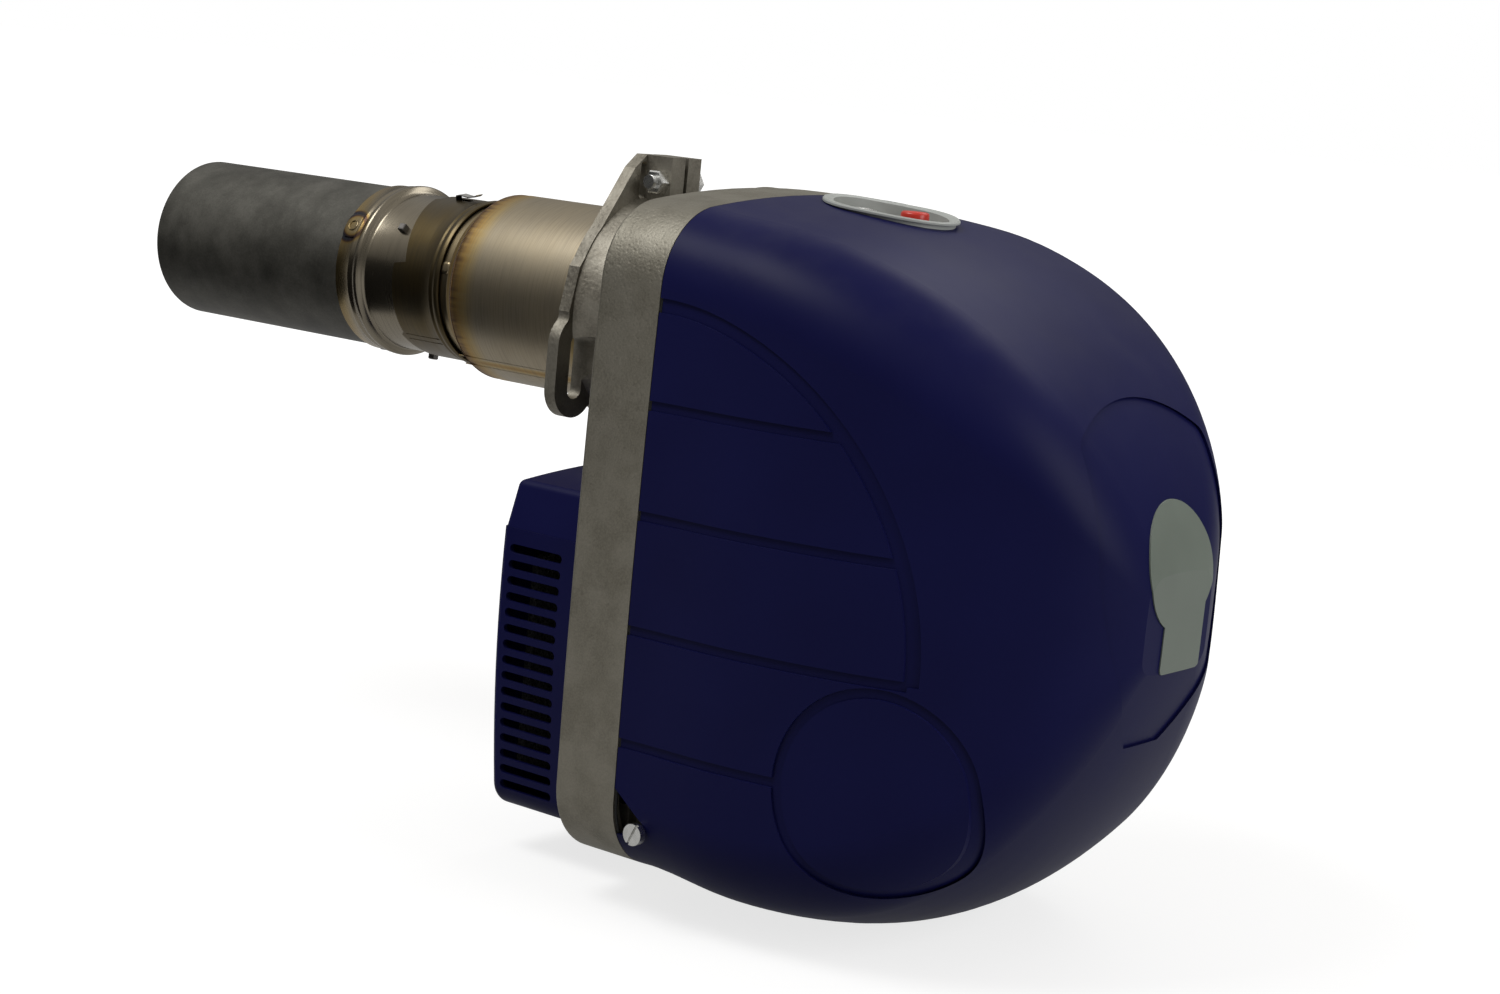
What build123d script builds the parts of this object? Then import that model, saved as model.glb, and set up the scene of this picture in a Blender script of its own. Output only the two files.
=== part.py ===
"""Forced-draught gas burner: clamp flange, recirculating blast tube, cast fan housing and moulded hood.

Row frame, millimetres: the origin is the centre of the flange's boiler-side face, on the blast-tube axis.
+X runs along the blast tube towards the hood, +Z is up. The burner is symmetric about Y = 0 but for its gas side.
"""

import math
import os

from build123d import *

# ---------------------------------------------------------------- driving sizes
# blast tube
BLAST_R = 57.5
BLAST_WALL = 1.5
BLAST_FRONT_X = -123.0
BLAST_SHOULDER = 7.0
NECK_R = 49.0
SLEEVE_FIT = 0.08
NECK_WALL = 1.5
FLAME_R = 51.0
FLAME_WALL = 2.5
FLAME_TIP_X = -373.0
COLLAR_X = -234.0
COLLAR_BEAD_X = -204.0
SLEEVE_X = (-175.0, -146.0)
WINDOW_X = (-149.0, -127.0)
WINDOW_COUNT = 6

# clamp flange
PLATE_T = 8.0
COLLAR_LENGTH = 34.0
COLLAR_T = 8.0
EAR_CENTRE = (62.0, -32.0)
EAR_SLOT = (12.0, 38.0)
LUG_Z = (54.0, 92.0)
LUG_X = (6.0, 27.0)
LUG_T = 12.0
SLIT = 3.0
PINCH_Z = 77.0
PINCH_X = 19.0
PINCH_R = 4.0

# body: cast housing, then the hood in front of it
BODY_HALF_W = 150.0
BODY_TOP_Z = 81.7
BODY_BOTTOM_Z = -309.0
BODY_MID_Z = -100.0
HOUSING_X = (92.0, 134.0)
HOUSING_WALL = 5.0
HOOD_GAP = 0.5
HOOD_DEPTH = 252.0
HOOD_DROP = 22.0  # how far the hood's middle falls from the housing to its front
HOOD_WALL = 3.4
CHANNEL_DEPTH = 1.5

# fan and motor
FAN_Z = -150.0
FAN_R = 76.0
FAN_INNER_R = 60.0
FAN_X = (106.0, 142.0)
BLADE_COUNT = 32
INTAKE_R = 54.0
SHAFT_R = 5.0
SHAFT_FIT = 0.06
VOLUTE_R = 84.0
VOLUTE_GROWTH = 6.0
VOLUTE_WALL = 4.0
HEAD_R = 70.0
PLATE_X = (150.0, 155.0)
MOTOR_R = 46.0
MOTOR_LENGTH = 84.0

# air intake box
BOX_X = (6.0, 91.6)
BOX_HALF_W = 112.0
BOX_TOP_Z = -88.0
BOX_SPLIT_Z = -122.0
BOX_BOTTOM_Z = -288.0
BOX_WALL = 3.0
SLOT_COUNT = 16
SLOT_PITCH = 9.3
SLOT_SIZE = (39.0, 5.4)
SLOT_CENTRE = (33.0, -203.5)
THROAT_X = 32.0
THROAT_R = 40.0
THROAT_WALL = 2.5
DAMPER_X = 56.0
DAMPER_R = 38.0
DAMPER_SHAFT_R = 4.0

# window and control
RING_CENTRE = (174.0, 0.0)
RING_R = 36.0
RING_Z = 86.0
RING_HOLE_R = 31.0
BUTTON_R = 8.0
BUTTON_X = 190.0
CONTROL_TOP_Z = 60.0

# gas side
GAS_X = 114.0
LANCE_R = 10.0
LANCE_BORE_R = 8.0
GAS_PAD_Y = 153.0
GAS_PORT_R = 9.6
IGNITION_ANGLES = (75, 135)
SENSOR_ANGLES = (255,)
HEAD_X = -100.0

SEAT = 0.05  # play left between two pieces that bear on each other
BLAST_MOUTH_R = NECK_R + SEAT
ROD_CIRCLE_R = BLAST_MOUTH_R - 12

# hood screws: X and Z of their axes, the face they pull on, their heads
SCREW_AXIS = (151.0, -262.0)
TAB_Y = 126.0
HOOD_SCREW_R = 3.0
HOOD_SCREW_HEAD = (6.0, 4.5)

os.makedirs("parts", exist_ok=True)
written = []


def save(part, name):
    """Label one sub-part and write it as parts/name.step."""
    part.label = name
    export_step(part, f"parts/{name}.step")
    written.append(name)


def along_x(x):
    """Sketch plane across the blast axis at x: its local x is +Y, its local y is +Z, its normal +X."""
    return Plane((x, 0, 0), x_dir=(0, 1, 0), z_dir=(1, 0, 0))


def polar(radius, degrees):
    """A point on a circle, as (x, y)."""
    return radius * math.cos(math.radians(degrees)), radius * math.sin(math.radians(degrees))


# ---------------------------------------------------------------- the body's outline
def body_outline(half_w, up, down, middle=BODY_MID_Z, softness=0.0):
    """Closed outline of the body: crowned top, bulged sides and rounded corners, about its middle."""
    top, bottom = middle + up, middle - down
    shoulder = (0.975 * half_w, middle + 0.92 * up)
    hip = (0.985 * half_w, middle - 0.84 * down)
    with BuildSketch() as outline:
        with BuildLine():
            ThreePointArc((-shoulder[0], shoulder[1]), (0, top), shoulder)
            ThreePointArc(shoulder, (half_w, middle), hip)
            ThreePointArc(hip, (0, bottom), (-hip[0], hip[1]))
            ThreePointArc((-hip[0], hip[1]), (-half_w, middle), (-shoulder[0], shoulder[1]))
        make_face()
        corners = outline.vertices().sort_by(Axis.Y)
        fillet(corners[2:], radius=(0.30 + 0.13 * softness) * min(half_w, up))
        corners = outline.vertices().sort_by(Axis.Y)
        fillet(corners[:2], radius=(0.28 + 0.15 * softness) * min(half_w, down))
    return outline.sketch


def dome(share, p, q):
    """How wide a superellipse dome still is at that share of its depth."""
    return (1 - share**p) ** (1 / q)


def body_solid(inset=0.0, start=HOUSING_X[1] + HOOD_GAP):
    """The hood's outer form, or the same form moved inwards by inset: a loft through shrinking outlines."""
    depth = HOOD_DEPTH - inset
    shares = [0.0, 0.2, 0.38, 0.54, 0.67, 0.77, 0.85, 0.91, 0.95, 0.98]
    with BuildPart() as solid:
        for share in shares:
            outline = body_outline(
                (BODY_HALF_W - inset) * dome(share, 2.5, 2.05),
                (BODY_TOP_Z - BODY_MID_Z - inset) * dome(share, 2.62, 1.76),
                (BODY_MID_Z - BODY_BOTTOM_Z - inset) * dome(share, 3.67, 1.15),
                BODY_MID_Z - HOOD_DROP * share,
                share,
            )
            with BuildSketch(along_x(start + depth * share)):
                add(outline)
        loft()
    return solid.part


# ---------------------------------------------------------------- blast tube
def tube_profile(points):
    """Revolve a closed profile of (x, radius) points about the blast axis."""
    with BuildPart() as turned:
        with BuildSketch(Plane.XZ):
            with BuildLine():
                Polyline(*points, close=True)
            make_face()
        revolve(axis=Axis.X)
    return turned.part


def build_flame_tube():
    with BuildPart() as flame_tube:
        with BuildSketch(along_x(FLAME_TIP_X)):
            Circle(FLAME_R)
            Circle(FLAME_R - FLAME_WALL, mode=Mode.SUBTRACT)
        extrude(amount=COLLAR_X + 26 - FLAME_TIP_X)
        chamfer(flame_tube.faces().sort_by(Axis.X)[0].edges(), 0.6)
    save(flame_tube.part, "flame_tube")


def build_flame_collar():
    """Pressed collar: it grips the flame tube, rises to a bead and necks down to the bayonet end."""
    grip = FLAME_R + 0.2
    wall = NECK_WALL
    with BuildPart() as collar:
        with BuildSketch(Plane.XZ):
            with BuildLine():
                Polyline(
                    (COLLAR_X, grip),
                    (COLLAR_X, grip + wall),
                    (COLLAR_BEAD_X - 3, grip + wall),
                    (COLLAR_BEAD_X, grip + wall + 2.2),
                    (COLLAR_BEAD_X + 3, grip + wall + 1.0),
                    (COLLAR_BEAD_X + 6, NECK_R + wall),
                    (SLEEVE_X[0] - 0.5, NECK_R + wall),
                    (SLEEVE_X[0] - 0.5, NECK_R),
                    (COLLAR_BEAD_X + 5, NECK_R),
                    (COLLAR_BEAD_X + 1.5, NECK_R - 1),
                    (COLLAR_BEAD_X - 3.2, NECK_R - 1),
                    (COLLAR_BEAD_X - 3.2, grip),
                    close=True,
                )
            make_face()
        revolve(axis=Axis.X)
    save(collar.part, "flame_collar")


def build_collar_rivets():
    """Three tubular rivets through the collar into the flame tube."""
    with BuildPart() as rivets:
        for turn in (0, 120, 240):
            place = Plane.XY.rotated((200 + turn, 0, 0)).offset(FLAME_R + 0.2 + NECK_WALL)
            place.origin += Vector(COLLAR_X + 13, 0, 0)
            with BuildSketch(place):
                Circle(5)
                Circle(2.2, mode=Mode.SUBTRACT)
            extrude(amount=1.0)
    save(rivets.part, "collar_rivets")


def build_bayonet_ring():
    """Windowed ring that carries the flame tube and lets flue gas back to the flame root."""
    with BuildPart() as ring:
        with BuildSketch(along_x(SLEEVE_X[0])):
            Circle(NECK_R)
            Circle(NECK_R - NECK_WALL, mode=Mode.SUBTRACT)
        extrude(amount=BLAST_FRONT_X + BLAST_WALL - SLEEVE_X[0])
        half_span = 0.38 * 360 / WINDOW_COUNT
        with BuildSketch(mode=Mode.PRIVATE) as wedge:
            with BuildLine():
                Polyline((0, 0), polar(NECK_R + 10, -half_span), polar(NECK_R + 10, half_span), close=True)
            make_face()
        with BuildSketch(along_x(WINDOW_X[0])):
            with PolarLocations(0, WINDOW_COUNT):
                add(wedge.sketch)
        extrude(amount=WINDOW_X[1] - WINDOW_X[0], mode=Mode.SUBTRACT)
    save(ring.part, "bayonet_ring")


def build_recirculation_sleeve():
    """Adjustable sleeve over the bayonet ring, with a rolled bead and a bent catch on top."""
    inner = NECK_R + SLEEVE_FIT
    outer = NECK_R + 2.4
    with BuildPart() as sleeve:
        with BuildSketch(Plane.XZ):
            with BuildLine():
                Polyline(
                    (SLEEVE_X[0], inner),
                    (SLEEVE_X[0], outer),
                    (SLEEVE_X[1] - 6, outer),
                    (SLEEVE_X[1] - 5, outer + 0.9),
                    (SLEEVE_X[1] - 3.6, outer + 0.2),
                    (SLEEVE_X[1] - 2.4, outer + 1.2),
                    (SLEEVE_X[1], outer + 0.6),
                    (SLEEVE_X[1], inner),
                    close=True,
                )
            make_face()
        revolve(axis=Axis.X)
        with BuildSketch(Plane.XY.offset(NECK_R - 1)):
            with Locations((SLEEVE_X[1] - 16, 0)):
                SlotOverall(14, 3)
        extrude(amount=8, mode=Mode.SUBTRACT)
        with BuildSketch(Plane.XZ.offset(-3)):
            with BuildLine():
                Polyline(
                    (SLEEVE_X[1] - 10, outer - 0.6),
                    (SLEEVE_X[1] - 10, outer + 4.2),
                    (SLEEVE_X[1] + 2, outer + 4.2),
                    (SLEEVE_X[1] + 2, outer + 3.2),
                    (SLEEVE_X[1] - 9, outer + 3.2),
                    (SLEEVE_X[1] - 9, outer - 0.6),
                    close=True,
                )
            make_face()
        extrude(amount=6)
    save(sleeve.part, "recirculation_sleeve")


def build_sleeve_screws():
    """Square-headed set screws that lock the sleeve."""
    with BuildPart() as screws:
        for turn in (35, 155, 275):
            place = Plane.XY.rotated((turn + 25, 0, 0)).offset(NECK_R + 2.5)
            place.origin += Vector(SLEEVE_X[0] + 4, 0, 0)
            with BuildSketch(place):
                Rectangle(5, 5)
            extrude(amount=3.4)
    save(screws.part, "sleeve_screws")


def build_blast_tube():
    """Rolled tube with a spun shoulder at its mouth and a raised weld seam along its underside."""
    inner = BLAST_R - BLAST_WALL
    with BuildPart() as blast:
        with BuildSketch(Plane.XZ):
            with BuildLine():
                mouth = Line((BLAST_FRONT_X, BLAST_MOUTH_R), (BLAST_FRONT_X, BLAST_R - BLAST_SHOULDER))
                RadiusArc(mouth @ 1, (BLAST_FRONT_X + BLAST_SHOULDER, BLAST_R), BLAST_SHOULDER)
                Polyline(
                    (BLAST_FRONT_X + BLAST_SHOULDER, BLAST_R),
                    (HOUSING_X[0] + HOUSING_WALL, BLAST_R),
                    (HOUSING_X[0] + HOUSING_WALL, inner),
                    (BLAST_FRONT_X + BLAST_SHOULDER, inner),
                )
                RadiusArc(
                    (BLAST_FRONT_X + BLAST_SHOULDER, inner),
                    (BLAST_FRONT_X + BLAST_WALL, BLAST_R - BLAST_SHOULDER),
                    -(BLAST_SHOULDER - BLAST_WALL),
                )
                Polyline(
                    (BLAST_FRONT_X + BLAST_WALL, BLAST_R - BLAST_SHOULDER),
                    (BLAST_FRONT_X + BLAST_WALL, BLAST_MOUTH_R),
                    mouth @ 0,
                )
            make_face()
        revolve(axis=Axis.X)
    save(blast.part, "blast_tube")


# ---------------------------------------------------------------- clamp flange
def build_flange():
    """Cast clamp flange: a dished plate with two slotted ears, a split collar and two pinch lugs."""
    bore = BLAST_R + 0.1
    with BuildPart() as flange:
        # plate: the ring, the two ears and the arms that run up to the lugs
        with BuildSketch(along_x(0)) as plate:
            Circle(bore + 12)
            for side in (1, -1):
                with BuildLine():
                    Polyline(
                        (0, 92),
                        (side * 14, 92),
                        (side * 24, 84),
                        (side * 66, 26),
                        (side * 72, 0),
                        (side * 40, -52),
                        (0, -40),
                        close=True,
                    )
                make_face()
                with Locations((side * EAR_CENTRE[0], EAR_CENTRE[1])):
                    SlotCenterToCenter(EAR_SLOT[1] - 12, 34, rotation=90)
            offset(amount=6, kind=Kind.ARC)
            offset(amount=-6, kind=Kind.ARC, mode=Mode.REPLACE)
        extrude(amount=PLATE_T)
        # collar behind the plate, with a swept foot
        with BuildSketch(Plane.XZ):
            with BuildLine():
                foot = Line((PLATE_T, bore + 11), (PLATE_T, bore - 1))
                Polyline(foot @ 1, (COLLAR_LENGTH, bore - 1), (COLLAR_LENGTH, bore + COLLAR_T - 2))
                RadiusArc((COLLAR_LENGTH, bore + COLLAR_T - 2), foot @ 0, 60)
            make_face()
        revolve(axis=Axis.X)
        # pinch lugs
        with BuildSketch(along_x(LUG_X[0])):
            with Locations((0, sum(LUG_Z) / 2)):
                Rectangle(2 * LUG_T + SLIT, LUG_Z[1] - LUG_Z[0])
        extrude(amount=LUG_X[1] - LUG_X[0])
        # bore, slit, ear slots, nut windows and pinch hole
        with BuildSketch(along_x(-1)):
            Circle(bore)
            with Locations((0, 75)):
                Rectangle(SLIT, 50)
            for side in (1, -1):
                with Locations((side * (LUG_T + SLIT / 2 + 2.6), PINCH_Z)):
                    SlotOverall(22, 5, rotation=90)
        extrude(amount=PLATE_T + 2, mode=Mode.SUBTRACT)
        with BuildSketch(along_x(-1)):
            for side in (1, -1):
                with Locations((side * EAR_CENTRE[0], EAR_CENTRE[1])):
                    SlotOverall(EAR_SLOT[1], EAR_SLOT[0], rotation=90)
        extrude(amount=COLLAR_LENGTH, mode=Mode.SUBTRACT)
        with BuildSketch(along_x(LUG_X[0] - 1)):
            Circle(bore)
            with Locations((0, 75)):
                Rectangle(SLIT, 50)
        extrude(amount=COLLAR_LENGTH, mode=Mode.SUBTRACT)
        with BuildSketch(Plane.XZ.offset(-30)):
            with Locations((PINCH_X, PINCH_Z)):
                Circle(PINCH_R + 0.4)
        extrude(amount=60, mode=Mode.SUBTRACT)
    save(flange.part, "clamp_flange")


def build_pinch_bolt():
    half = LUG_T + SLIT / 2
    with BuildPart() as bolt:
        with BuildSketch(Plane.XZ.offset(-half - 5.3)):
            with Locations((PINCH_X, PINCH_Z)):
                RegularPolygon(7.5, 6)
        extrude(amount=5.3 - 0.05)
        with BuildSketch(Plane.XZ.offset(-half - 0.1)):
            with Locations((PINCH_X, PINCH_Z)):
                Circle(PINCH_R)
        extrude(amount=2 * half + 11)
    save(bolt.part, "pinch_bolt")
    with BuildPart() as nut:
        with BuildSketch(Plane.XZ.offset(half + 0.05)):
            with Locations((PINCH_X, PINCH_Z)):
                RegularPolygon(7.5, 6)
                Circle(PINCH_R + 0.05, mode=Mode.SUBTRACT)
        extrude(amount=6.5)
        chamfer(nut.faces().sort_by(Axis.Y)[0].outer_wire().edges(), 0.8)
    save(nut.part, "pinch_nut")


# ---------------------------------------------------------------- cast housing
def volute_line(grow=0.0):
    """Outline of the fan scroll and its outlet chamber, moved outwards by grow."""
    radii = [VOLUTE_R + VOLUTE_GROWTH * step + grow for step in range(4)]
    with BuildSketch() as scroll:
        with BuildLine():
            start = (HEAD_R * 0.9 + grow, FAN_Z + 40)
            first = JernArc(start=(-(radii[0]), FAN_Z), tangent=(0, -1), radius=radii[0], arc_size=90)
            second = JernArc(start=first @ 1, tangent=first % 1, radius=radii[1], arc_size=90)
            third = JernArc(start=second @ 1, tangent=second % 1, radius=radii[2], arc_size=35)
            Polyline(third @ 1, (HEAD_R + grow, 0), (-(HEAD_R + grow), 0), first @ 0)
        make_face()
        Circle(HEAD_R + grow)
    return scroll.sketch


def build_housing():
    """One casting: outer band, rear wall, tube neck, fan scroll, screw bosses and hood tabs."""
    up, down = BODY_TOP_Z - BODY_MID_Z, BODY_MID_Z - BODY_BOTTOM_Z
    band = body_outline(BODY_HALF_W, up, down)
    inner_band = body_outline(BODY_HALF_W - HOUSING_WALL, up - HOUSING_WALL, down - HOUSING_WALL)
    with BuildPart() as housing:
        with BuildSketch(along_x(HOUSING_X[0])):
            add(band)
        extrude(amount=HOUSING_X[1] - HOUSING_X[0])
        fillet(housing.faces().sort_by(Axis.X)[0].edges(), radius=2.5)
        with BuildSketch(along_x(HOUSING_X[0] + HOUSING_WALL)):
            add(inner_band)
        extrude(amount=60, mode=Mode.SUBTRACT)
        # the blast tube's hole and the fan's intake
        with BuildSketch(along_x(HOUSING_X[0])):
            Circle(BLAST_R + 0.1)
            with Locations((0, FAN_Z)):
                Circle(INTAKE_R)
        extrude(amount=HOUSING_WALL + 1, mode=Mode.SUBTRACT)
        # tabs under the hood's screws
        x, z = SCREW_AXIS
        for side in (1, -1):
            with BuildSketch(Plane.XZ.offset(-side * (TAB_Y + 7))):
                with Locations(((HOUSING_X[0] + HOUSING_X[1]) / 2 + 2, z)):
                    Rectangle(HOUSING_X[1] - HOUSING_X[0] - 5, 18)
            extrude(amount=side * 13)
            with BuildSketch(Plane.XZ.offset(-side * TAB_Y)):
                with Locations((x, z)):
                    Circle(9)
                with Locations((x - 15, z)):
                    Rectangle(30, 18)
            extrude(amount=side * 6)
            with BuildSketch(Plane.XZ.offset(-side * (TAB_Y + 1))):
                with Locations((x, z)):
                    Circle(HOOD_SCREW_R + 0.1)
            extrude(amount=side * 8, mode=Mode.SUBTRACT)
        # pad for the gas inlet, and its port through wall and scroll
        with BuildSketch(Plane.XZ.offset(-GAS_PAD_Y)):
            with Locations((GAS_X, 0)):
                RectangleRounded(34, 56, 6)
        extrude(amount=10)
        with BuildSketch(Plane.XZ.offset(-GAS_PAD_Y - 1)):
            with Locations((GAS_X, 0)):
                Circle(LANCE_R + 0.4)
        extrude(amount=40, mode=Mode.SUBTRACT)
    save(housing.part, "fan_housing")


def build_tube_socket():
    """Cast socket that carries the blast tube: a tapered neck that flares into a round foot."""
    bore = BLAST_R + 0.1
    end = HOUSING_X[0] - SEAT
    with BuildPart() as socket:
        with BuildSketch(Plane.XZ):
            with BuildLine():
                neck = Polyline(
                    (end, bore),
                    (COLLAR_LENGTH + 3, bore),
                    (COLLAR_LENGTH + 3, bore + 5),
                    (end - 22, bore + 7),
                )
                flare = RadiusArc(neck @ 1, (end - 5, bore + 24), -18)
                Polyline(flare @ 1, (end, bore + 24), (end, bore))
            make_face()
        revolve(axis=Axis.X)
        fillet(socket.faces().sort_by(Axis.X)[0].outer_wire().edges(), radius=1.5)
    save(socket.part, "tube_socket")


def build_fan_scroll():
    """Scroll wall round the fan, opening into the round chamber behind the blast tube."""
    start = HOUSING_X[0] + HOUSING_WALL + SEAT
    with BuildPart() as scroll:
        with BuildSketch(along_x(start)):
            add(volute_line(VOLUTE_WALL))
            add(volute_line(), mode=Mode.SUBTRACT)
        extrude(amount=PLATE_X[0] - SEAT - start)
        # screw bosses under the cover
        with BuildSketch(along_x(start)):
            for place in plate_screw_places():
                with Locations(place):
                    Circle(6)
            add(volute_line(), mode=Mode.SUBTRACT)
        extrude(amount=PLATE_X[0] - SEAT - start)
        with BuildSketch(Plane.XZ.offset(-VOLUTE_R - 40)):
            with Locations((GAS_X, 0)):
                Circle(LANCE_R + 0.4)
        extrude(amount=100, mode=Mode.SUBTRACT)
    save(scroll.part, "fan_scroll")


# ---------------------------------------------------------------- hood
def groove_cutter():
    """Shallow channels in the hood's cheeks: an arch, level bars inside it and a ring at the lower front."""
    arch = (HOUSING_X[1], -150.0)
    arch_size = (168.0, 175.0)
    ring = (283.0, -213.0)
    ring_size = (51.0, 57.0)
    bar_levels = (-32.0, -91.0, -153.0)
    low_bar = -215.0
    width = 5.5
    with BuildSketch(Plane.XZ) as grooves:
        with Locations(arch):
            Ellipse(*arch_size)
            Ellipse(arch_size[0] - 1.4 * width, arch_size[1] - 1.4 * width, mode=Mode.SUBTRACT)
        with Locations((arch[0], ring[1] - 40)):
            Rectangle(3 * arch_size[0], 200, mode=Mode.SUBTRACT)
        for level in bar_levels:
            reach = arch_size[0] * math.sqrt(1 - ((level - arch[1]) / arch_size[1]) ** 2) - width
            with Locations((arch[0] + reach / 2, level)):
                Rectangle(reach, width)
        reach = ring[0] - ring_size[0] - arch[0] + 1
        with Locations((arch[0] + reach / 2, low_bar)):
            Rectangle(reach, width)
        with Locations(ring):
            Ellipse(*ring_size)
            Ellipse(ring_size[0] - width, ring_size[1] - width, mode=Mode.SUBTRACT)
    return grooves.sketch


def shield_outline():
    """Outline of the sunk field on the hood's front: wide at the top, closing to a narrow foot."""
    with BuildSketch() as shield:
        with BuildLine():
            top = ThreePointArc((-66, -22), (0, -3), (66, -22))
            right = Spline(top @ 1, (65, -88), (44, -152), (18, -184))
            foot = Line(right @ 1, (-18, -184))
            Spline(foot @ 1, (-44, -152), (-65, -88), top @ 0)
        make_face()
        fillet(shield.vertices().group_by(Axis.Y)[-1], radius=9)
    return shield.sketch


def build_label_plate():
    """Blank plate in the sunk field, shaped like a keyhole and bent to the hood's front."""
    with BuildPart() as plate:
        with BuildSketch(along_x(HOUSING_X[1] + 0.7 * HOOD_DEPTH)):
            with Locations((0, -86)):
                Circle(34)
            with Locations((6, -122)):
                RectangleRounded(42, 40, 3)
        extrude(amount=HOOD_DEPTH)
        add(body_solid(inset=CHANNEL_DEPTH - 0.8), mode=Mode.INTERSECT)
        add(body_solid(inset=CHANNEL_DEPTH - SEAT), mode=Mode.SUBTRACT)
    save(plate.part, "label_plate")


def build_window_ring():
    """Turned bezel of the reset window."""
    with BuildPart() as ring:
        with BuildSketch(Plane.XZ):
            with BuildLine():
                Polyline(
                    (RING_HOLE_R, RING_Z - 10),
                    (RING_R, RING_Z - 10),
                    (RING_R, RING_Z - 1.5),
                    (RING_R - 1.2, RING_Z),
                    (RING_HOLE_R + 1.5, RING_Z - 1),
                    (RING_HOLE_R, RING_Z - 2.5),
                    close=True,
                )
            make_face()
        revolve(axis=Axis.Z)
    save(Pos(RING_CENTRE[0], RING_CENTRE[1], 0) * ring.part, "window_ring")


def build_hood_screws():
    """Slotted cheese-head screws, one on each cheek."""
    x, z = SCREW_AXIS
    radius, height = HOOD_SCREW_HEAD
    seat = BODY_HALF_W - 3.0
    with BuildPart() as screws:
        for side in (1, -1):
            with BuildSketch(Plane.XZ.offset(-side * seat)):
                with Locations((x, z)):
                    Circle(radius)
            extrude(amount=-side * height)
            with BuildSketch(Plane.XZ.offset(-side * (seat + height))):
                with Locations((x, z)):
                    Rectangle(1.4, 2 * radius + 1, rotation=25 * side)
            extrude(amount=side * 1.8, mode=Mode.SUBTRACT)
            with BuildSketch(Plane.XZ.offset(-side * (seat + SEAT))):
                with Locations((x, z)):
                    Circle(HOOD_SCREW_R)
            extrude(amount=side * (seat - TAB_Y + 8))
    save(screws.part, "hood_screws")


# ---------------------------------------------------------------- fan and motor
def build_fan_wheel():
    """Radial wheel: a ring of forward-curved blades between a back disc and a front ring."""
    front, back, tip = FAN_INNER_R + 1, FAN_R - 0.4, 6.0
    with BuildSketch(mode=Mode.PRIVATE) as blade:
        with BuildLine():
            rake = ThreePointArc(polar(front, 0), polar((front + back) / 2, 0.5), polar(back, tip))
            Line(rake @ 1, polar(back, tip + 1.2))
            belly = ThreePointArc(
                polar(back, tip + 1.2), polar((front + back) / 2, 1.9), polar(front, 1.4)
            )
            Line(belly @ 1, rake @ 0)
        make_face()
    with BuildPart() as wheel:
        with BuildSketch(along_x(FAN_X[1] - 2.5)):
            with Locations((0, FAN_Z)):
                Circle(FAN_R)
                Circle(15 + SEAT, mode=Mode.SUBTRACT)
        extrude(amount=2.5)
        with BuildSketch(along_x(FAN_X[0])):
            with Locations((0, FAN_Z)):
                Circle(FAN_R)
                Circle(FAN_INNER_R + 6, mode=Mode.SUBTRACT)
        extrude(amount=2.0)
        with BuildSketch(along_x(FAN_X[0] + 1)):
            with Locations((0, FAN_Z)):
                with PolarLocations(0, BLADE_COUNT):
                    add(blade.sketch)
        extrude(amount=FAN_X[1] - FAN_X[0] - 2)
    save(wheel.part, "fan_wheel")


def build_fan_hub():
    with BuildPart() as hub:
        with BuildSketch(along_x(FAN_X[0] + 12)):
            with Locations((0, FAN_Z)):
                Circle(12)
                Circle(SHAFT_R + SEAT / 2, mode=Mode.SUBTRACT)
        extrude(amount=FAN_X[1] - FAN_X[0] - 12)
        with BuildSketch(along_x(FAN_X[1] - 2.5)):
            with Locations((0, FAN_Z)):
                Circle(15)
                Circle(SHAFT_R + SEAT / 2, mode=Mode.SUBTRACT)
        extrude(amount=2.5)
        with BuildSketch(along_x(FAN_X[1] - 2.5 - 1.2)):
            with Locations((0, FAN_Z)):
                Circle(19)
                Circle(11, mode=Mode.SUBTRACT)
        extrude(amount=1.2 - SEAT)
    save(hub.part, "fan_hub")


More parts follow.
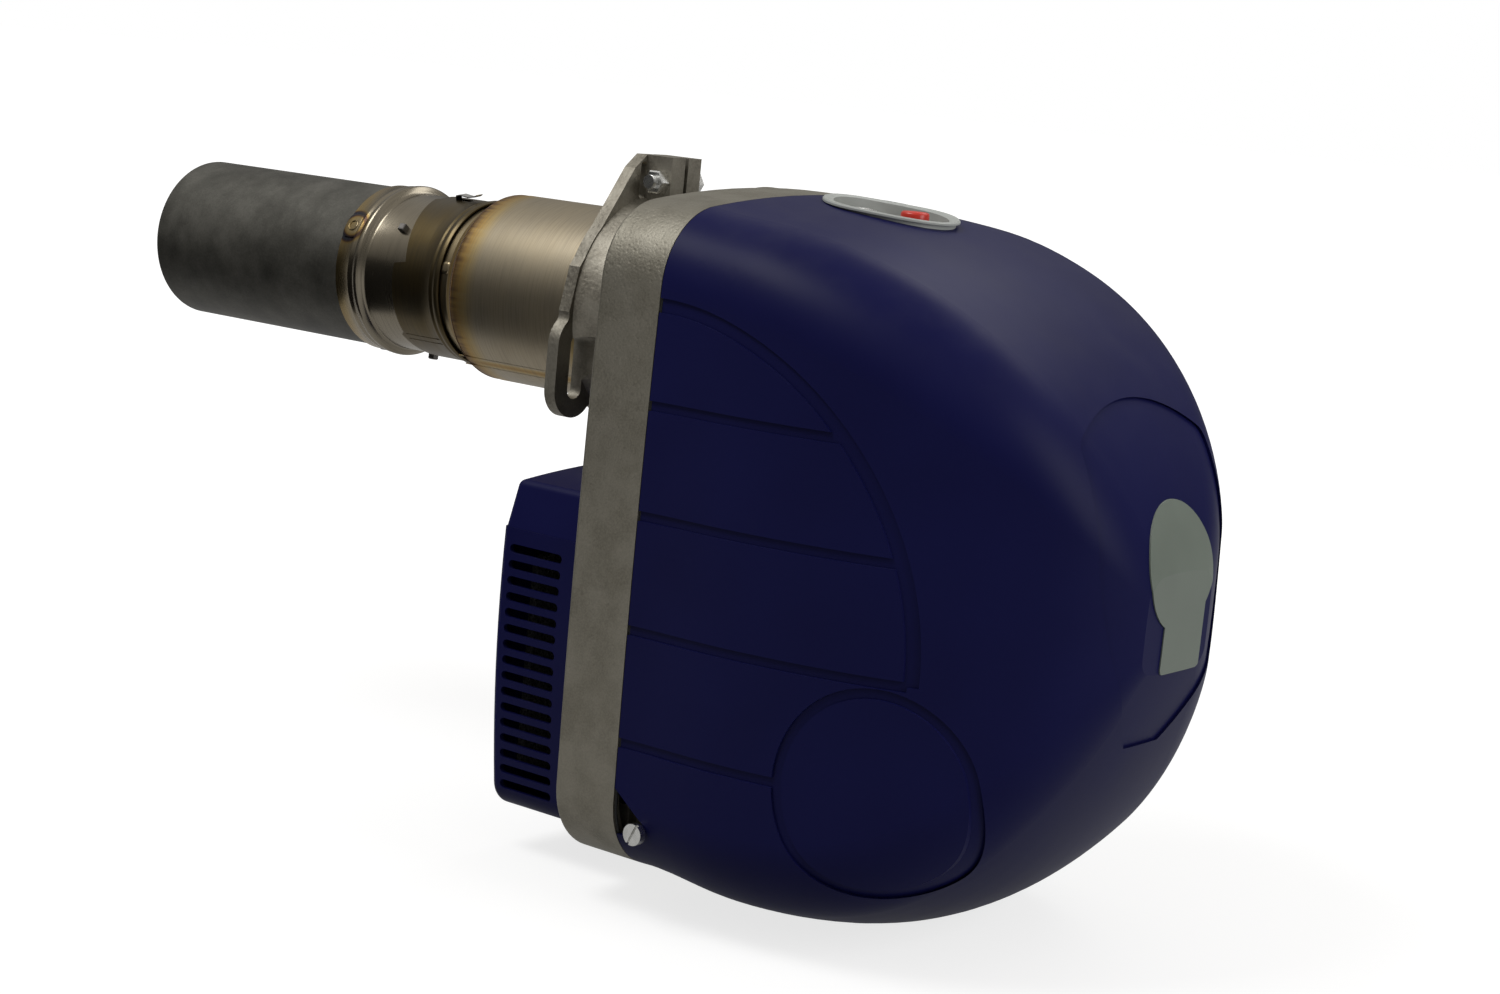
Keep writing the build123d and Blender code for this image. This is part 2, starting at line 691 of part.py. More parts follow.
def build_motor():
    start = PLATE_X[1] + SEAT
    bell = 9.0
    lamination = (start + bell + SEAT, start + MOTOR_LENGTH - bell - SEAT)

    def disc(name, x0, x1, radius, bore, spigot=0.0):
        with BuildPart() as piece:
            with BuildSketch(along_x(x0)):
                with Locations((0, FAN_Z)):
                    Circle(radius)
            extrude(amount=x1 - x0)
            if spigot:
                with BuildSketch(along_x(x1)):
                    with Locations((0, FAN_Z)):
                        Circle(spigot)
                extrude(amount=6)
            fillet(piece.faces().sort_by(Axis.X)[-1].edges(), radius=2)
            with BuildSketch(along_x(x0)):
                with Locations((0, FAN_Z)):
                    Circle(bore)
            extrude(amount=x1 - x0 - (4 if spigot else 0), mode=Mode.SUBTRACT)
        return piece

    front = disc("motor_front_bell", start, start + bell, MOTOR_R, SHAFT_R + SHAFT_FIT)
    save(front.part, "motor_front_bell")
    rear = disc("motor_rear_bell", start + MOTOR_LENGTH - bell, start + MOTOR_LENGTH, MOTOR_R,
                SHAFT_R + SHAFT_FIT, spigot=14)
    save(rear.part, "motor_rear_bell")
    with BuildPart() as stator:
        with BuildSketch(along_x(lamination[0])):
            with Locations((0, FAN_Z)):
                Circle(MOTOR_R - 1.5)
                Circle(SHAFT_R + 4, mode=Mode.SUBTRACT)
        extrude(amount=lamination[1] - lamination[0])
        with BuildSketch(along_x(lamination[0] + 4)):
            with Locations((0, FAN_Z)):
                with PolarLocations(MOTOR_R - 1.5, 4, start_angle=45):
                    Rectangle(6, 16)
        extrude(amount=lamination[1] - lamination[0] - 8)
    save(stator.part, "motor_stator")
    with BuildPart() as shaft:
        with BuildSketch(along_x(FAN_X[0] + 9)):
            with Locations((0, FAN_Z)):
                Circle(SHAFT_R)
        extrude(amount=start + MOTOR_LENGTH - 6 - FAN_X[0] - 9)
        chamfer(shaft.faces().sort_by(Axis.X)[0].edges(), 0.8)
    save(shaft.part, "motor_shaft")
    # the capacitor lies against the stator
    reach = MOTOR_R + 17 + 0.2
    with BuildPart() as capacitor:
        with BuildSketch(along_x(start + 2)):
            with Locations((-reach, FAN_Z)):
                Circle(17)
        extrude(amount=62)
        fillet(capacitor.edges().filter_by(GeomType.CIRCLE), radius=1.5)
    save(capacitor.part, "motor_capacitor")


def plate_screw_places():
    """Where the screws of the scroll cover sit: (y, z) pairs on the scroll wall."""
    return [(72, 4), (-72, 4), (VOLUTE_R + 10, FAN_Z), (-VOLUTE_R - 2, FAN_Z), (58, 44), (-58, 44)]


def build_motor_plate():
    with BuildPart() as plate:
        with BuildSketch(along_x(PLATE_X[0])):
            add(volute_line(VOLUTE_WALL + 3))
            with Locations((0, FAN_Z)):
                Circle(16, mode=Mode.SUBTRACT)
        extrude(amount=PLATE_X[1] - PLATE_X[0])
        fillet(plate.faces().sort_by(Axis.X)[-1].outer_wire().edges(), radius=1.5)
    save(plate.part, "motor_plate")
    with BuildPart() as screws:
        for place in plate_screw_places():
            with BuildSketch(along_x(PLATE_X[1] + SEAT)):
                with Locations(place):
                    RegularPolygon(5, 6)
            extrude(amount=3.5)
    save(screws.part, "plate_screws")


# ---------------------------------------------------------------- control and ignition
def rounded_box(low, high, radius):
    with BuildPart() as box:
        with BuildSketch(Plane.XY.offset(low[2])):
            with Locations(((low[0] + high[0]) / 2, (low[1] + high[1]) / 2)):
                RectangleRounded(high[0] - low[0], high[1] - low[1], radius)
        extrude(amount=high[2] - low[2])
        chamfer(box.faces().sort_by(Axis.Z)[-1].edges(), radius / 3)
    return box.part


def build_control():
    face = PLATE_X[1] + SEAT
    base_z = 6.0
    save(rounded_box((face, -52, base_z - 20), (face + 76, 52, base_z), 3), "control_base")
    with BuildPart() as box:
        add(rounded_box((face + 1, -46, base_z + SEAT), (face + 74, 46, CONTROL_TOP_Z), 4))
        x = BUTTON_X
        with BuildSketch(Plane.XY.offset(CONTROL_TOP_Z)):
            with Locations((x, 0)):
                Circle(BUTTON_R + 3)
        extrude(amount=4)
        with BuildSketch(Plane.XY.offset(CONTROL_TOP_Z + 4)):
            with Locations((x, 0)):
                Circle(BUTTON_R + 0.08)
        extrude(amount=-14, mode=Mode.SUBTRACT)
    save(box.part, "control_box")
    with BuildPart() as button:
        with BuildSketch(Plane.XY.offset(CONTROL_TOP_Z - 4)):
            with Locations((x, 0)):
                Circle(BUTTON_R)
        extrude(amount=14)
        fillet(button.faces().sort_by(Axis.Z)[-1].edges(), radius=1.6)
    save(button.part, "reset_button")
    save(
        rounded_box((face, -42, -90), (face + 62, 42, base_z - 20 - 6), 4),
        "ignition_transformer",
    )


# ---------------------------------------------------------------- gas side and mixing head
def build_gas_lance():
    """Lance: in from the side, round a bend and along the blast axis to the nozzle."""
    bend = 24.0
    with BuildPart() as lance:
        with BuildLine() as path:
            run = Line((GAS_X, GAS_PAD_Y - 4, 0), (GAS_X, bend, 0))
            turn = RadiusArc(run @ 1, (GAS_X - bend, 0, 0), bend)
            Line(turn @ 1, (HEAD_X + 10, 0, 0))
        with BuildSketch(Plane(run @ 0, z_dir=run % 0)):
            Circle(LANCE_R)
            Circle(LANCE_BORE_R, mode=Mode.SUBTRACT)
        sweep()
    save(lance.part, "gas_lance")


def build_gas_inlet():
    """Screwed-on inlet flange with a threaded port."""
    with BuildPart() as inlet:
        with BuildSketch(Plane.XZ.offset(-GAS_PAD_Y - SEAT)):
            with Locations((GAS_X, 0)):
                RectangleRounded(32, 54, 5)
        extrude(amount=-8)
        with BuildSketch(Plane.XZ.offset(-GAS_PAD_Y - 8)):
            with Locations((GAS_X, 0)):
                RegularPolygon(16, 6)
        extrude(amount=-18)
        with BuildSketch(Plane.XZ.offset(-GAS_PAD_Y)):
            with Locations((GAS_X, 0)):
                Circle(LANCE_BORE_R)
        extrude(amount=-30, mode=Mode.SUBTRACT)
        with BuildSketch(Plane.XZ.offset(-GAS_PAD_Y - 26)):
            with Locations((GAS_X, 0)):
                Circle(GAS_PORT_R)
        extrude(amount=16, mode=Mode.SUBTRACT)
    save(inlet.part, "gas_inlet")
    with BuildPart() as screws:
        with BuildSketch(Plane.XZ.offset(-GAS_PAD_Y - 8 - 2 * SEAT)):
            with Locations((GAS_X, 0)):
                with GridLocations(22, 44, 2, 2):
                    Circle(4)
                    RegularPolygon(2, 6, mode=Mode.SUBTRACT)
        extrude(amount=-4)
    save(screws.part, "gas_inlet_screws")


def build_mixing_head():
    """Baffle disc with radial swirl slots, held on the lance, and the nozzle in front of it."""
    with BuildPart() as baffle:
        with BuildSketch(along_x(HEAD_X)):
            Circle(BLAST_MOUTH_R - 3)
            Circle(LANCE_R + 2 + SEAT, mode=Mode.SUBTRACT)
            with PolarLocations((BLAST_MOUTH_R - 3 + LANCE_R + 8) / 2, 12):
                SlotOverall(18, 2.4, rotation=12, mode=Mode.SUBTRACT)
            for angle in IGNITION_ANGLES + SENSOR_ANGLES:
                with Locations(polar(ROD_CIRCLE_R, angle)):
                    Circle(4.4, mode=Mode.SUBTRACT)
        extrude(amount=1.5)
        with BuildSketch(along_x(HEAD_X)):
            Circle(BLAST_MOUTH_R - 3)
            Circle(BLAST_MOUTH_R - 4.5, mode=Mode.SUBTRACT)
        extrude(amount=9)
    save(baffle.part, "baffle_disc")
    with BuildPart() as nozzle:
        with BuildSketch(Plane.XZ):
            with BuildLine():
                Polyline(
                    (HEAD_X - 12, 0),
                    (HEAD_X - 12, LANCE_R - 1),
                    (HEAD_X - 8, LANCE_R + 2),
                    (HEAD_X + 9.9, LANCE_R + 2),
                    (HEAD_X + 9.9, 0),
                    close=True,
                )
            make_face()
        revolve(axis=Axis.X)
        with BuildSketch(along_x(HEAD_X + 9.9)):
            Circle(LANCE_BORE_R)
        extrude(amount=-18, mode=Mode.SUBTRACT)
        for turn in range(0, 360, 45):
            with BuildSketch(Plane.XY.rotated((turn, 0, 0)).offset(4)):
                with Locations((HEAD_X - 4, 0)):
                    Circle(1.6)
            extrude(amount=20, mode=Mode.SUBTRACT)
    save(nozzle.part, "gas_nozzle")
    with BuildPart() as spider:
        with BuildSketch(along_x(20)):
            Circle(BLAST_R - BLAST_WALL - 0.2)
            Circle(BLAST_R - BLAST_WALL - 3, mode=Mode.SUBTRACT)
            with PolarLocations(BLAST_R / 2, 3, start_angle=90):
                Rectangle(BLAST_R - 8, 5)
            Circle(LANCE_R + 4)
            Circle(LANCE_R + SEAT, mode=Mode.SUBTRACT)
        extrude(amount=12)
    save(spider.part, "lance_spider")


def build_electrodes():
    """Ceramic-bodied rods through the baffle: two for ignition, one to sense the flame."""

    def rod(name_body, name_rod, angles, tip):
        with BuildPart() as ceramic:
            for angle in angles:
                y, z = polar(ROD_CIRCLE_R, angle)
                with BuildSketch(along_x(HEAD_X - 8)):
                    with Locations((y, z)):
                        Circle(3.6)
                        Circle(1.25 + SEAT, mode=Mode.SUBTRACT)
                extrude(amount=70)
                with BuildSketch(along_x(HEAD_X + 30)):
                    with Locations((y, z)):
                        Circle(5)
                        Circle(3, mode=Mode.SUBTRACT)
                extrude(amount=8)
        save(ceramic.part, name_body)
        with BuildPart() as wire:
            for angle in angles:
                y, z = polar(ROD_CIRCLE_R, angle)
                with BuildSketch(along_x(tip)):
                    with Locations((y, z)):
                        Circle(1.25)
                extrude(amount=HEAD_X + 72 - tip)
        save(wire.part, name_rod)

    rod("ignition_ceramics", "ignition_rods", IGNITION_ANGLES, HEAD_X - 20)
    rod("sensor_ceramic", "sensor_rod", SENSOR_ANGLES, HEAD_X - 62)


def build_electrode_clamp():
    """Saddle on the lance that grips the three ceramics."""
    with BuildPart() as clamp:
        with BuildSketch(along_x(HEAD_X + 44)):
            Circle(LANCE_R + 5)
            for angle in IGNITION_ANGLES + SENSOR_ANGLES:
                with Locations(polar(ROD_CIRCLE_R, angle)):
                    Circle(6.5)
                with Locations(Location(polar(ROD_CIRCLE_R / 2, angle), angle)):
                    Rectangle(ROD_CIRCLE_R, 6)
            Circle(LANCE_R + SEAT, mode=Mode.SUBTRACT)
            for angle in IGNITION_ANGLES + SENSOR_ANGLES:
                with Locations(polar(ROD_CIRCLE_R, angle)):
                    Circle(3.6 + SEAT, mode=Mode.SUBTRACT)
        extrude(amount=6)
    save(clamp.part, "electrode_clamp")


# ---------------------------------------------------------------- air intake
def box_outline(inset=0.0):
    """Outline of the intake box across the blast axis, corners rounded at the bottom."""
    half = BOX_HALF_W - inset
    top, bottom = BOX_TOP_Z - inset, BOX_BOTTOM_Z + inset
    with BuildSketch() as outline:
        with BuildLine():
            left = ThreePointArc((-half + 8, top - 7), (0, top), (half - 8, top - 7))
            right = Line(left @ 1, (half, BOX_SPLIT_Z))
            cheek = ThreePointArc(right @ 1, (half, -180), (half - 10, bottom))
            Line(cheek @ 1, (-half + 10, bottom))
            ThreePointArc((-half + 10, bottom), (-half, -180), (-half, BOX_SPLIT_Z))
            Line((-half, BOX_SPLIT_Z), left @ 0)
        make_face()
        fillet(outline.vertices().group_by(Axis.Y)[0], radius=16 - inset)
        fillet(outline.vertices().group_by(Axis.Y)[-1], radius=5)
    return outline.sketch


def intake_shell(low_z, high_z, inset):
    """The open-backed box between two levels."""
    with BuildPart() as shell:
        with BuildSketch(along_x(BOX_X[0] + inset)):
            add(box_outline(inset))
        extrude(amount=BOX_X[1] - BOX_X[0] - inset)
        fillet(shell.faces().sort_by(Axis.X)[0].edges(), radius=5)
        with BuildSketch(along_x(BOX_X[0] + inset + BOX_WALL)):
            add(box_outline(inset + BOX_WALL))
        extrude(amount=BOX_X[1], mode=Mode.SUBTRACT)
        with Locations((0, 0, (low_z + high_z) / 2)):
            Box(400, 400, high_z - low_z, mode=Mode.INTERSECT)
    return shell.part


def build_intake():
    save(intake_shell(BOX_SPLIT_Z, BOX_TOP_Z + 10, 0.6), "intake_cap")
    cover = intake_shell(BOX_BOTTOM_Z - 10, BOX_SPLIT_Z - SEAT, 0)
    with BuildPart() as slotted:
        add(cover)
        with BuildSketch(Plane.XZ):
            with Locations(SLOT_CENTRE):
                with GridLocations(1, SLOT_PITCH, 1, SLOT_COUNT):
                    SlotOverall(*SLOT_SIZE)
        extrude(amount=BOX_HALF_W + 10, both=True, mode=Mode.SUBTRACT)
    save(slotted.part, "intake_cover")
    # foam lining on the inside of the front wall
    lining_x = BOX_X[0] + 0.6 + BOX_WALL + SEAT
    with BuildPart() as lining:
        with BuildSketch(along_x(lining_x)):
            with Locations((0, (BOX_SPLIT_Z + BOX_BOTTOM_Z) / 2)):
                RectangleRounded(2 * BOX_HALF_W - 50, 130, 8)
        extrude(amount=5)
    save(lining.part, "intake_lining")


def build_air_throat():
    """Round throat on the casting's rear wall, with a flange and two bearing bosses for the damper."""
    end = HOUSING_X[0] - 2 * SEAT
    with BuildPart() as throat:
        with BuildSketch(along_x(THROAT_X)):
            with Locations((0, FAN_Z)):
                Circle(THROAT_R + THROAT_WALL)
        extrude(amount=end - THROAT_X)
        with BuildSketch(along_x(end - 4)):
            with Locations((0, FAN_Z)):
                Circle(INTAKE_R + 3)
        extrude(amount=4)
        with BuildSketch(Plane.XZ):
            with Locations((DAMPER_X, FAN_Z)):
                Circle(DAMPER_SHAFT_R + 4)
        extrude(amount=THROAT_R + 8, both=True)
        with BuildSketch(along_x(THROAT_X - 1)):
            with Locations((0, FAN_Z)):
                Circle(THROAT_R)
        extrude(amount=end - THROAT_X + 2, mode=Mode.SUBTRACT)
        with BuildSketch(Plane.XZ):
            with Locations((DAMPER_X, FAN_Z)):
                Circle(DAMPER_SHAFT_R + SHAFT_FIT)
        extrude(amount=THROAT_R + 20, both=True, mode=Mode.SUBTRACT)
    save(throat.part, "air_throat")


def build_damper():
    """Disc flap on its spindle; the servo drives the far end."""
    with BuildPart() as flap:
        with BuildSketch(along_x(DAMPER_X - 1)):
            with Locations((0, FAN_Z)):
                Circle(DAMPER_R)
        extrude(amount=2)
        with BuildSketch(Plane.XZ):
            with Locations((DAMPER_X, FAN_Z)):
                Circle(DAMPER_SHAFT_R + 2)
        extrude(amount=DAMPER_R - 3, both=True)
        with BuildSketch(Plane.XZ):
            with Locations((DAMPER_X, FAN_Z)):
                Circle(DAMPER_SHAFT_R + SEAT / 2)
        extrude(amount=DAMPER_R + 3, both=True, mode=Mode.SUBTRACT)
    save(flap.part, "damper_flap")
    with BuildPart() as spindle:
        with BuildSketch(Plane.XZ.offset(THROAT_R + 12)):
            with Locations((DAMPER_X, FAN_Z)):
                Circle(DAMPER_SHAFT_R)
        extrude(amount=-2 * THROAT_R - 36)
        chamfer(spindle.edges().filter_by(GeomType.CIRCLE), 0.5)
    save(spindle.part, "damper_spindle")
    with BuildPart() as servo:
        servo_y = (THROAT_R + 8 + SEAT, THROAT_R + 42)
        end = HOUSING_X[0] - 4 * SEAT
        with BuildSketch(Plane.XZ.offset(-servo_y[0])):
            with Locations(((DAMPER_X + end - 4) / 2 - 9, FAN_Z)):
                RectangleRounded(end - 4 - DAMPER_X + 18, 50, 3)
        extrude(amount=-(servo_y[1] - servo_y[0]))
        with BuildSketch(Plane.XZ.offset(-servo_y[0])):
            with Locations((DAMPER_X, FAN_Z)):
                Circle(DAMPER_SHAFT_R + SHAFT_FIT)
        extrude(amount=-20, mode=Mode.SUBTRACT)
    save(servo.part, "damper_servo")


def build_hood():
    """Moulded hood: one thin shell with a window, a front recess, cheek channels and screw notches."""
    outer = body_solid()
    skin = body_solid(inset=CHANNEL_DEPTH)
    cavity = body_solid(inset=HOOD_WALL)
    with BuildPart() as hood:
        add(outer)
        # cheek channels, no deeper than the inset of the skin form
        with BuildPart(mode=Mode.PRIVATE) as channels:
            with BuildSketch(Plane.XZ.offset(-BODY_HALF_W - 5)):
                add(groove_cutter())
            extrude(amount=2 * BODY_HALF_W + 10)
            add(skin, mode=Mode.SUBTRACT)
        add(channels.part, mode=Mode.SUBTRACT)
        # sunk shield on the front
        with BuildPart(mode=Mode.PRIVATE) as shield:
            with BuildSketch(along_x(HOUSING_X[1] + 0.6 * HOOD_DEPTH)):
                add(shield_outline())
            extrude(amount=HOOD_DEPTH)
            add(skin, mode=Mode.SUBTRACT)
        add(shield.part, mode=Mode.SUBTRACT)
        add(cavity, mode=Mode.SUBTRACT)
        # window
        with BuildSketch(Plane.XY.offset(40)):
            with Locations(RING_CENTRE):
                Circle(RING_R + 2 * SEAT)
        extrude(amount=80, mode=Mode.SUBTRACT)
        # open notches round the screws
        for side in (1, -1):
            x, z = SCREW_AXIS
            with BuildSketch(Plane.XZ.offset(-side * (BODY_HALF_W - 30))):
                with BuildLine():
                    Polyline(
                        (x - 30, z - 4.7),
                        (x, z - 4.7),
                        (x + 4.7, z),
                        (x + 2, z + 6),
                        (x - 17, z + 22),
                        (x - 30, z + 22),
                        close=True,
                    )
                make_face()
            extrude(amount=-side * 40, mode=Mode.SUBTRACT)
    save(hood.part, "hood")


def main():
    build_flame_tube()
    build_flame_collar()
    build_collar_rivets()
    build_bayonet_ring()
    build_recirculation_sleeve()
    build_sleeve_screws()
    build_blast_tube()
    build_flange()
    build_pinch_bolt()
    build_housing()
    build_tube_socket()
    build_fan_scroll()
    build_motor_plate()
    build_motor()
    build_fan_wheel()
    build_fan_hub()
    build_control()
    build_gas_lance()
    build_gas_inlet()
    build_mixing_head()
    build_electrodes()
    build_electrode_clamp()
    build_intake()
    build_air_throat()
    build_damper()
    build_hood()
    build_label_plate()
    build_window_ring()
    build_hood_screws()


main()
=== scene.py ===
# %% [markdown]
# # A forced-draught gas burner, dressed for its portrait
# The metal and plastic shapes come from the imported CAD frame. This notebook gives them their finishes and adds
# what is too fine for CAD: weld beads, threads, spot welds, screw heads and the seal under the hood.
# Everything is in metres. +X runs along the blast tube towards the hood, +Z is up.

# %% Load the frame
import math

import bmesh
import bpy
from mathutils import Matrix, Vector
from mathutils.bvhtree import BVHTree


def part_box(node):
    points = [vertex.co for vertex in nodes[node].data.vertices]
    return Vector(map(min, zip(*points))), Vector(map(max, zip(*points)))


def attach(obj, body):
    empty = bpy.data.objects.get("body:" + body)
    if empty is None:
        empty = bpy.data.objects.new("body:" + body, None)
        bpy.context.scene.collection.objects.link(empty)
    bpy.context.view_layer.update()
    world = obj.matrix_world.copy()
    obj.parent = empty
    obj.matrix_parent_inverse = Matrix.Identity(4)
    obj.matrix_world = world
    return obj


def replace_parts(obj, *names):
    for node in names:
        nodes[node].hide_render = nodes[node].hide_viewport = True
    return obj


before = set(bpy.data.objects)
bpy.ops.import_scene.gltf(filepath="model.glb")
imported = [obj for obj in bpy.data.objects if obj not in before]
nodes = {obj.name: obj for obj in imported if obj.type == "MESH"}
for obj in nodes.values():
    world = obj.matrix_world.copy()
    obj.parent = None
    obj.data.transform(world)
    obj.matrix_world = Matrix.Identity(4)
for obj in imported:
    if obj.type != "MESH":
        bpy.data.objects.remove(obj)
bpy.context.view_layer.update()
MM = 0.001
print("nodes in the frame:", len(nodes))

# %% [markdown]
# ## Where the eye stands
# The burner is seen from its service side, a little above its own middle, with the blast tube running away to
# the left. A camera is easiest to describe as a photographer would: how far round, how far up, how much it
# leans, and how far away. Three turns in a row give that, so no number has to be guessed twice.

# %% Camera
VIEW_ROUND = 36.35
VIEW_UP = -8.99
VIEW_LEAN = 5.56
EYE = Vector((1.0221, -1.2583, 0.1493))
SENSOR = 36.0
LENS = 65.21

camera = bpy.data.objects.new("camera", bpy.data.cameras.new("camera"))
bpy.context.scene.collection.objects.link(camera)
camera.data.sensor_width = SENSOR
camera.data.lens = LENS
turn = Matrix.Rotation(math.radians(VIEW_ROUND), 3, "Z")
tip = Matrix.Rotation(math.radians(90 + VIEW_UP), 3, "X")
lean = Matrix.Rotation(math.radians(VIEW_LEAN), 3, "Z")
camera.matrix_world = Matrix.Translation(EYE) @ (turn @ tip @ lean).to_4x4()
camera.data.clip_start = 0.05
bpy.context.scene.camera = camera

# %% [markdown]
# ## Light
# Satin plastic and brushed metal show the room more than the lamp. The room here is a dark studio with a soft
# bright ceiling: the ceiling draws the light along the tops, the dark walls give the metal its deep middle, and
# the pale floor comes back as the light stripe low on the tube. A broad lamp above does most of the lighting,
# one at the hood's nose keeps its front blue, and a narrow one behind lifts the top edges.

# %% Lamps
def soft_lamp(name, place, aim, width, height, watts):
    lamp = bpy.data.lights.new(name, "AREA")
    lamp.shape = "RECTANGLE"
    lamp.size, lamp.size_y = width, height
    lamp.energy = watts
    holder = bpy.data.objects.new(name, lamp)
    bpy.context.scene.collection.objects.link(holder)
    holder.location = place
    holder.rotation_euler = (Vector(aim) - Vector(place)).to_track_quat("-Z", "Y").to_euler()
    print(f"{name}: {watts} W")
    return holder


MIDDLE = (0.05, 0.0, -0.08)
soft_lamp("key_lamp", (-0.55, -1.05, 1.75), MIDDLE, 1.3, 0.8, 22)
soft_lamp("nose_lamp", (1.9, 0.15, 0.55), MIDDLE, 0.8, 1.2, 11)
soft_lamp("rim_lamp", (0.3, 1.4, 1.5), MIDDLE, 1.6, 0.5, 7)

# %% [markdown]
# ## The room and the paper
# The backdrop is pure white to the camera and through glass, polished metal picks up a share of it, and it has
# no say in how the object is lit. The paper on the floor does the same trick: to those rays it glows a little,
# so it reads as white and still carries the shadow, while the light that it throws back onto the burner is that
# of a mid-grey sheet.

# %% World
def light_path(tree, glossy_share):
    """1 for camera and transmission rays, and a share for glossy ones, as one socket."""
    rays = tree.nodes.new("ShaderNodeLightPath")
    found = rays.outputs["Is Camera Ray"]
    for kind, share in (("Is Transmission Ray", 1.0), ("Is Glossy Ray", glossy_share)):
        part = tree.nodes.new("ShaderNodeMath")
        part.operation = "MULTIPLY"
        part.inputs[1].default_value = share
        either = tree.nodes.new("ShaderNodeMath")
        either.operation = "MAXIMUM"
        tree.links.new(rays.outputs[kind], part.inputs[0])
        tree.links.new(found, either.inputs[0])
        tree.links.new(part.outputs[0], either.inputs[1])
        found = either.outputs[0]
    return found


WALL_LIGHT = 0.07
CEILING_LIGHT = 0.5
BACKDROP_IN_METAL = 0.08
PAPER_IN_METAL = 0.28
bpy.context.scene.view_settings.view_transform = "Standard"
world = bpy.data.worlds.new("studio")
bpy.context.scene.world = world
world.use_nodes = True
room = world.node_tree
room.nodes.clear()
direction = room.nodes.new("ShaderNodeTexCoord")
split = room.nodes.new("ShaderNodeSeparateXYZ")
rise = room.nodes.new("ShaderNodeMapRange")
rise.interpolation_type = "SMOOTHSTEP"
for name, value in {
    "From Min": 0.12, "From Max": 0.75, "To Min": WALL_LIGHT, "To Max": CEILING_LIGHT,
}.items():
    rise.inputs[name].default_value = value
ambient = room.nodes.new("ShaderNodeBackground")
ambient.inputs["Color"].default_value = (1.0, 0.975, 0.93, 1)
backdrop = room.nodes.new("ShaderNodeBackground")
backdrop.inputs["Color"].default_value = (1, 1, 1, 1)
choice = room.nodes.new("ShaderNodeMixShader")
out = room.nodes.new("ShaderNodeOutputWorld")
room.links.new(direction.outputs["Generated"], split.inputs[0])
room.links.new(split.outputs["Z"], rise.inputs["Value"])
room.links.new(rise.outputs["Result"], ambient.inputs["Strength"])
room.links.new(light_path(room, BACKDROP_IN_METAL), choice.inputs[0])
room.links.new(ambient.outputs[0], choice.inputs[1])
room.links.new(backdrop.outputs[0], choice.inputs[2])
room.links.new(choice.outputs[0], out.inputs["Surface"])
print("room:", WALL_LIGHT, "at the walls,", CEILING_LIGHT, "overhead")

# %% Floor
PAPER_GREY = 0.34
PAPER_GLOW = 0.76
PAPER_HALF = 30.0
lowest = min(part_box(name)[0].z for name in nodes)
floor_mesh = bpy.data.meshes.new("floor")
corners = [(-1, -1), (1, -1), (1, 1), (-1, 1)]
floor_mesh.from_pydata([(u * PAPER_HALF, v * PAPER_HALF, lowest) for u, v in corners], [], [(0, 1, 2, 3)])
floor = bpy.data.objects.new("floor", floor_mesh)
bpy.context.scene.collection.objects.link(floor)

paper = bpy.data.materials.new("paper_floor")
paper.use_nodes = True
sheet = paper.node_tree
sheet.nodes.clear()
grey = sheet.nodes.new("ShaderNodeBsdfDiffuse")
grey.inputs["Color"].default_value = (PAPER_GREY, PAPER_GREY, PAPER_GREY, 1)
place = sheet.nodes.new("ShaderNodeTexCoord")
reach = sheet.nodes.new("ShaderNodeVectorMath")
reach.operation = "LENGTH"
fade = sheet.nodes.new("ShaderNodeMapRange")
fade.interpolation_type = "SMOOTHSTEP"
for name, value in {"From Min": 0.5, "From Max": 1.6, "To Min": PAPER_GLOW, "To Max": 1.0}.items():
    fade.inputs[name].default_value = value
glow = sheet.nodes.new("ShaderNodeEmission")
both = sheet.nodes.new("ShaderNodeAddShader")
seen = sheet.nodes.new("ShaderNodeMixShader")
out = sheet.nodes.new("ShaderNodeOutputMaterial")
sheet.links.new(place.outputs["Object"], reach.inputs[0])
sheet.links.new(reach.outputs["Value"], fade.inputs["Value"])
sheet.links.new(fade.outputs["Result"], glow.inputs["Strength"])
sheet.links.new(grey.outputs[0], both.inputs[0])
sheet.links.new(glow.outputs[0], both.inputs[1])
sheet.links.new(light_path(sheet, PAPER_IN_METAL), seen.inputs[0])
sheet.links.new(grey.outputs[0], seen.inputs[1])
sheet.links.new(both.outputs[0], seen.inputs[2])
sheet.links.new(seen.outputs[0], out.inputs["Surface"])
floor_mesh.materials.append(paper)
print("floor at", round(lowest, 4))

# %% [markdown]
# ## A black flag
# Round polished tube looks flat in an all-white room, so a photographer stands a black card beside it. Its
# reflection is the dark stripe along the middle of the tube. The card leans away from the tube, from a foot on
# the floor, and it is seen only in reflections.

# %% Flag
FLAG_X = (-1.1, -0.12)
FLAG_FOOT = (-0.20, lowest)
FLAG_TOP = (-0.50, 0.13)
flag_mesh = bpy.data.meshes.new("flag")
flag_mesh.from_pydata(
    [(FLAG_X[0], *FLAG_FOOT), (FLAG_X[1], *FLAG_FOOT), (FLAG_X[1], *FLAG_TOP), (FLAG_X[0], *FLAG_TOP)],
    [],
    [(0, 1, 2, 3)],
)
flag_cloth = bpy.data.materials.new("flag_cloth")
flag_cloth.use_nodes = True
flag_cloth.node_tree.nodes["Principled BSDF"].inputs["Base Color"].default_value = (0.01, 0.01, 0.01, 1)
flag_cloth.node_tree.nodes["Principled BSDF"].inputs["Roughness"].default_value = 1.0
flag_mesh.materials.append(flag_cloth)
flag = bpy.data.objects.new("flag", flag_mesh)
bpy.context.scene.collection.objects.link(flag)
flag.visible_camera = flag.visible_diffuse = flag.visible_shadow = False

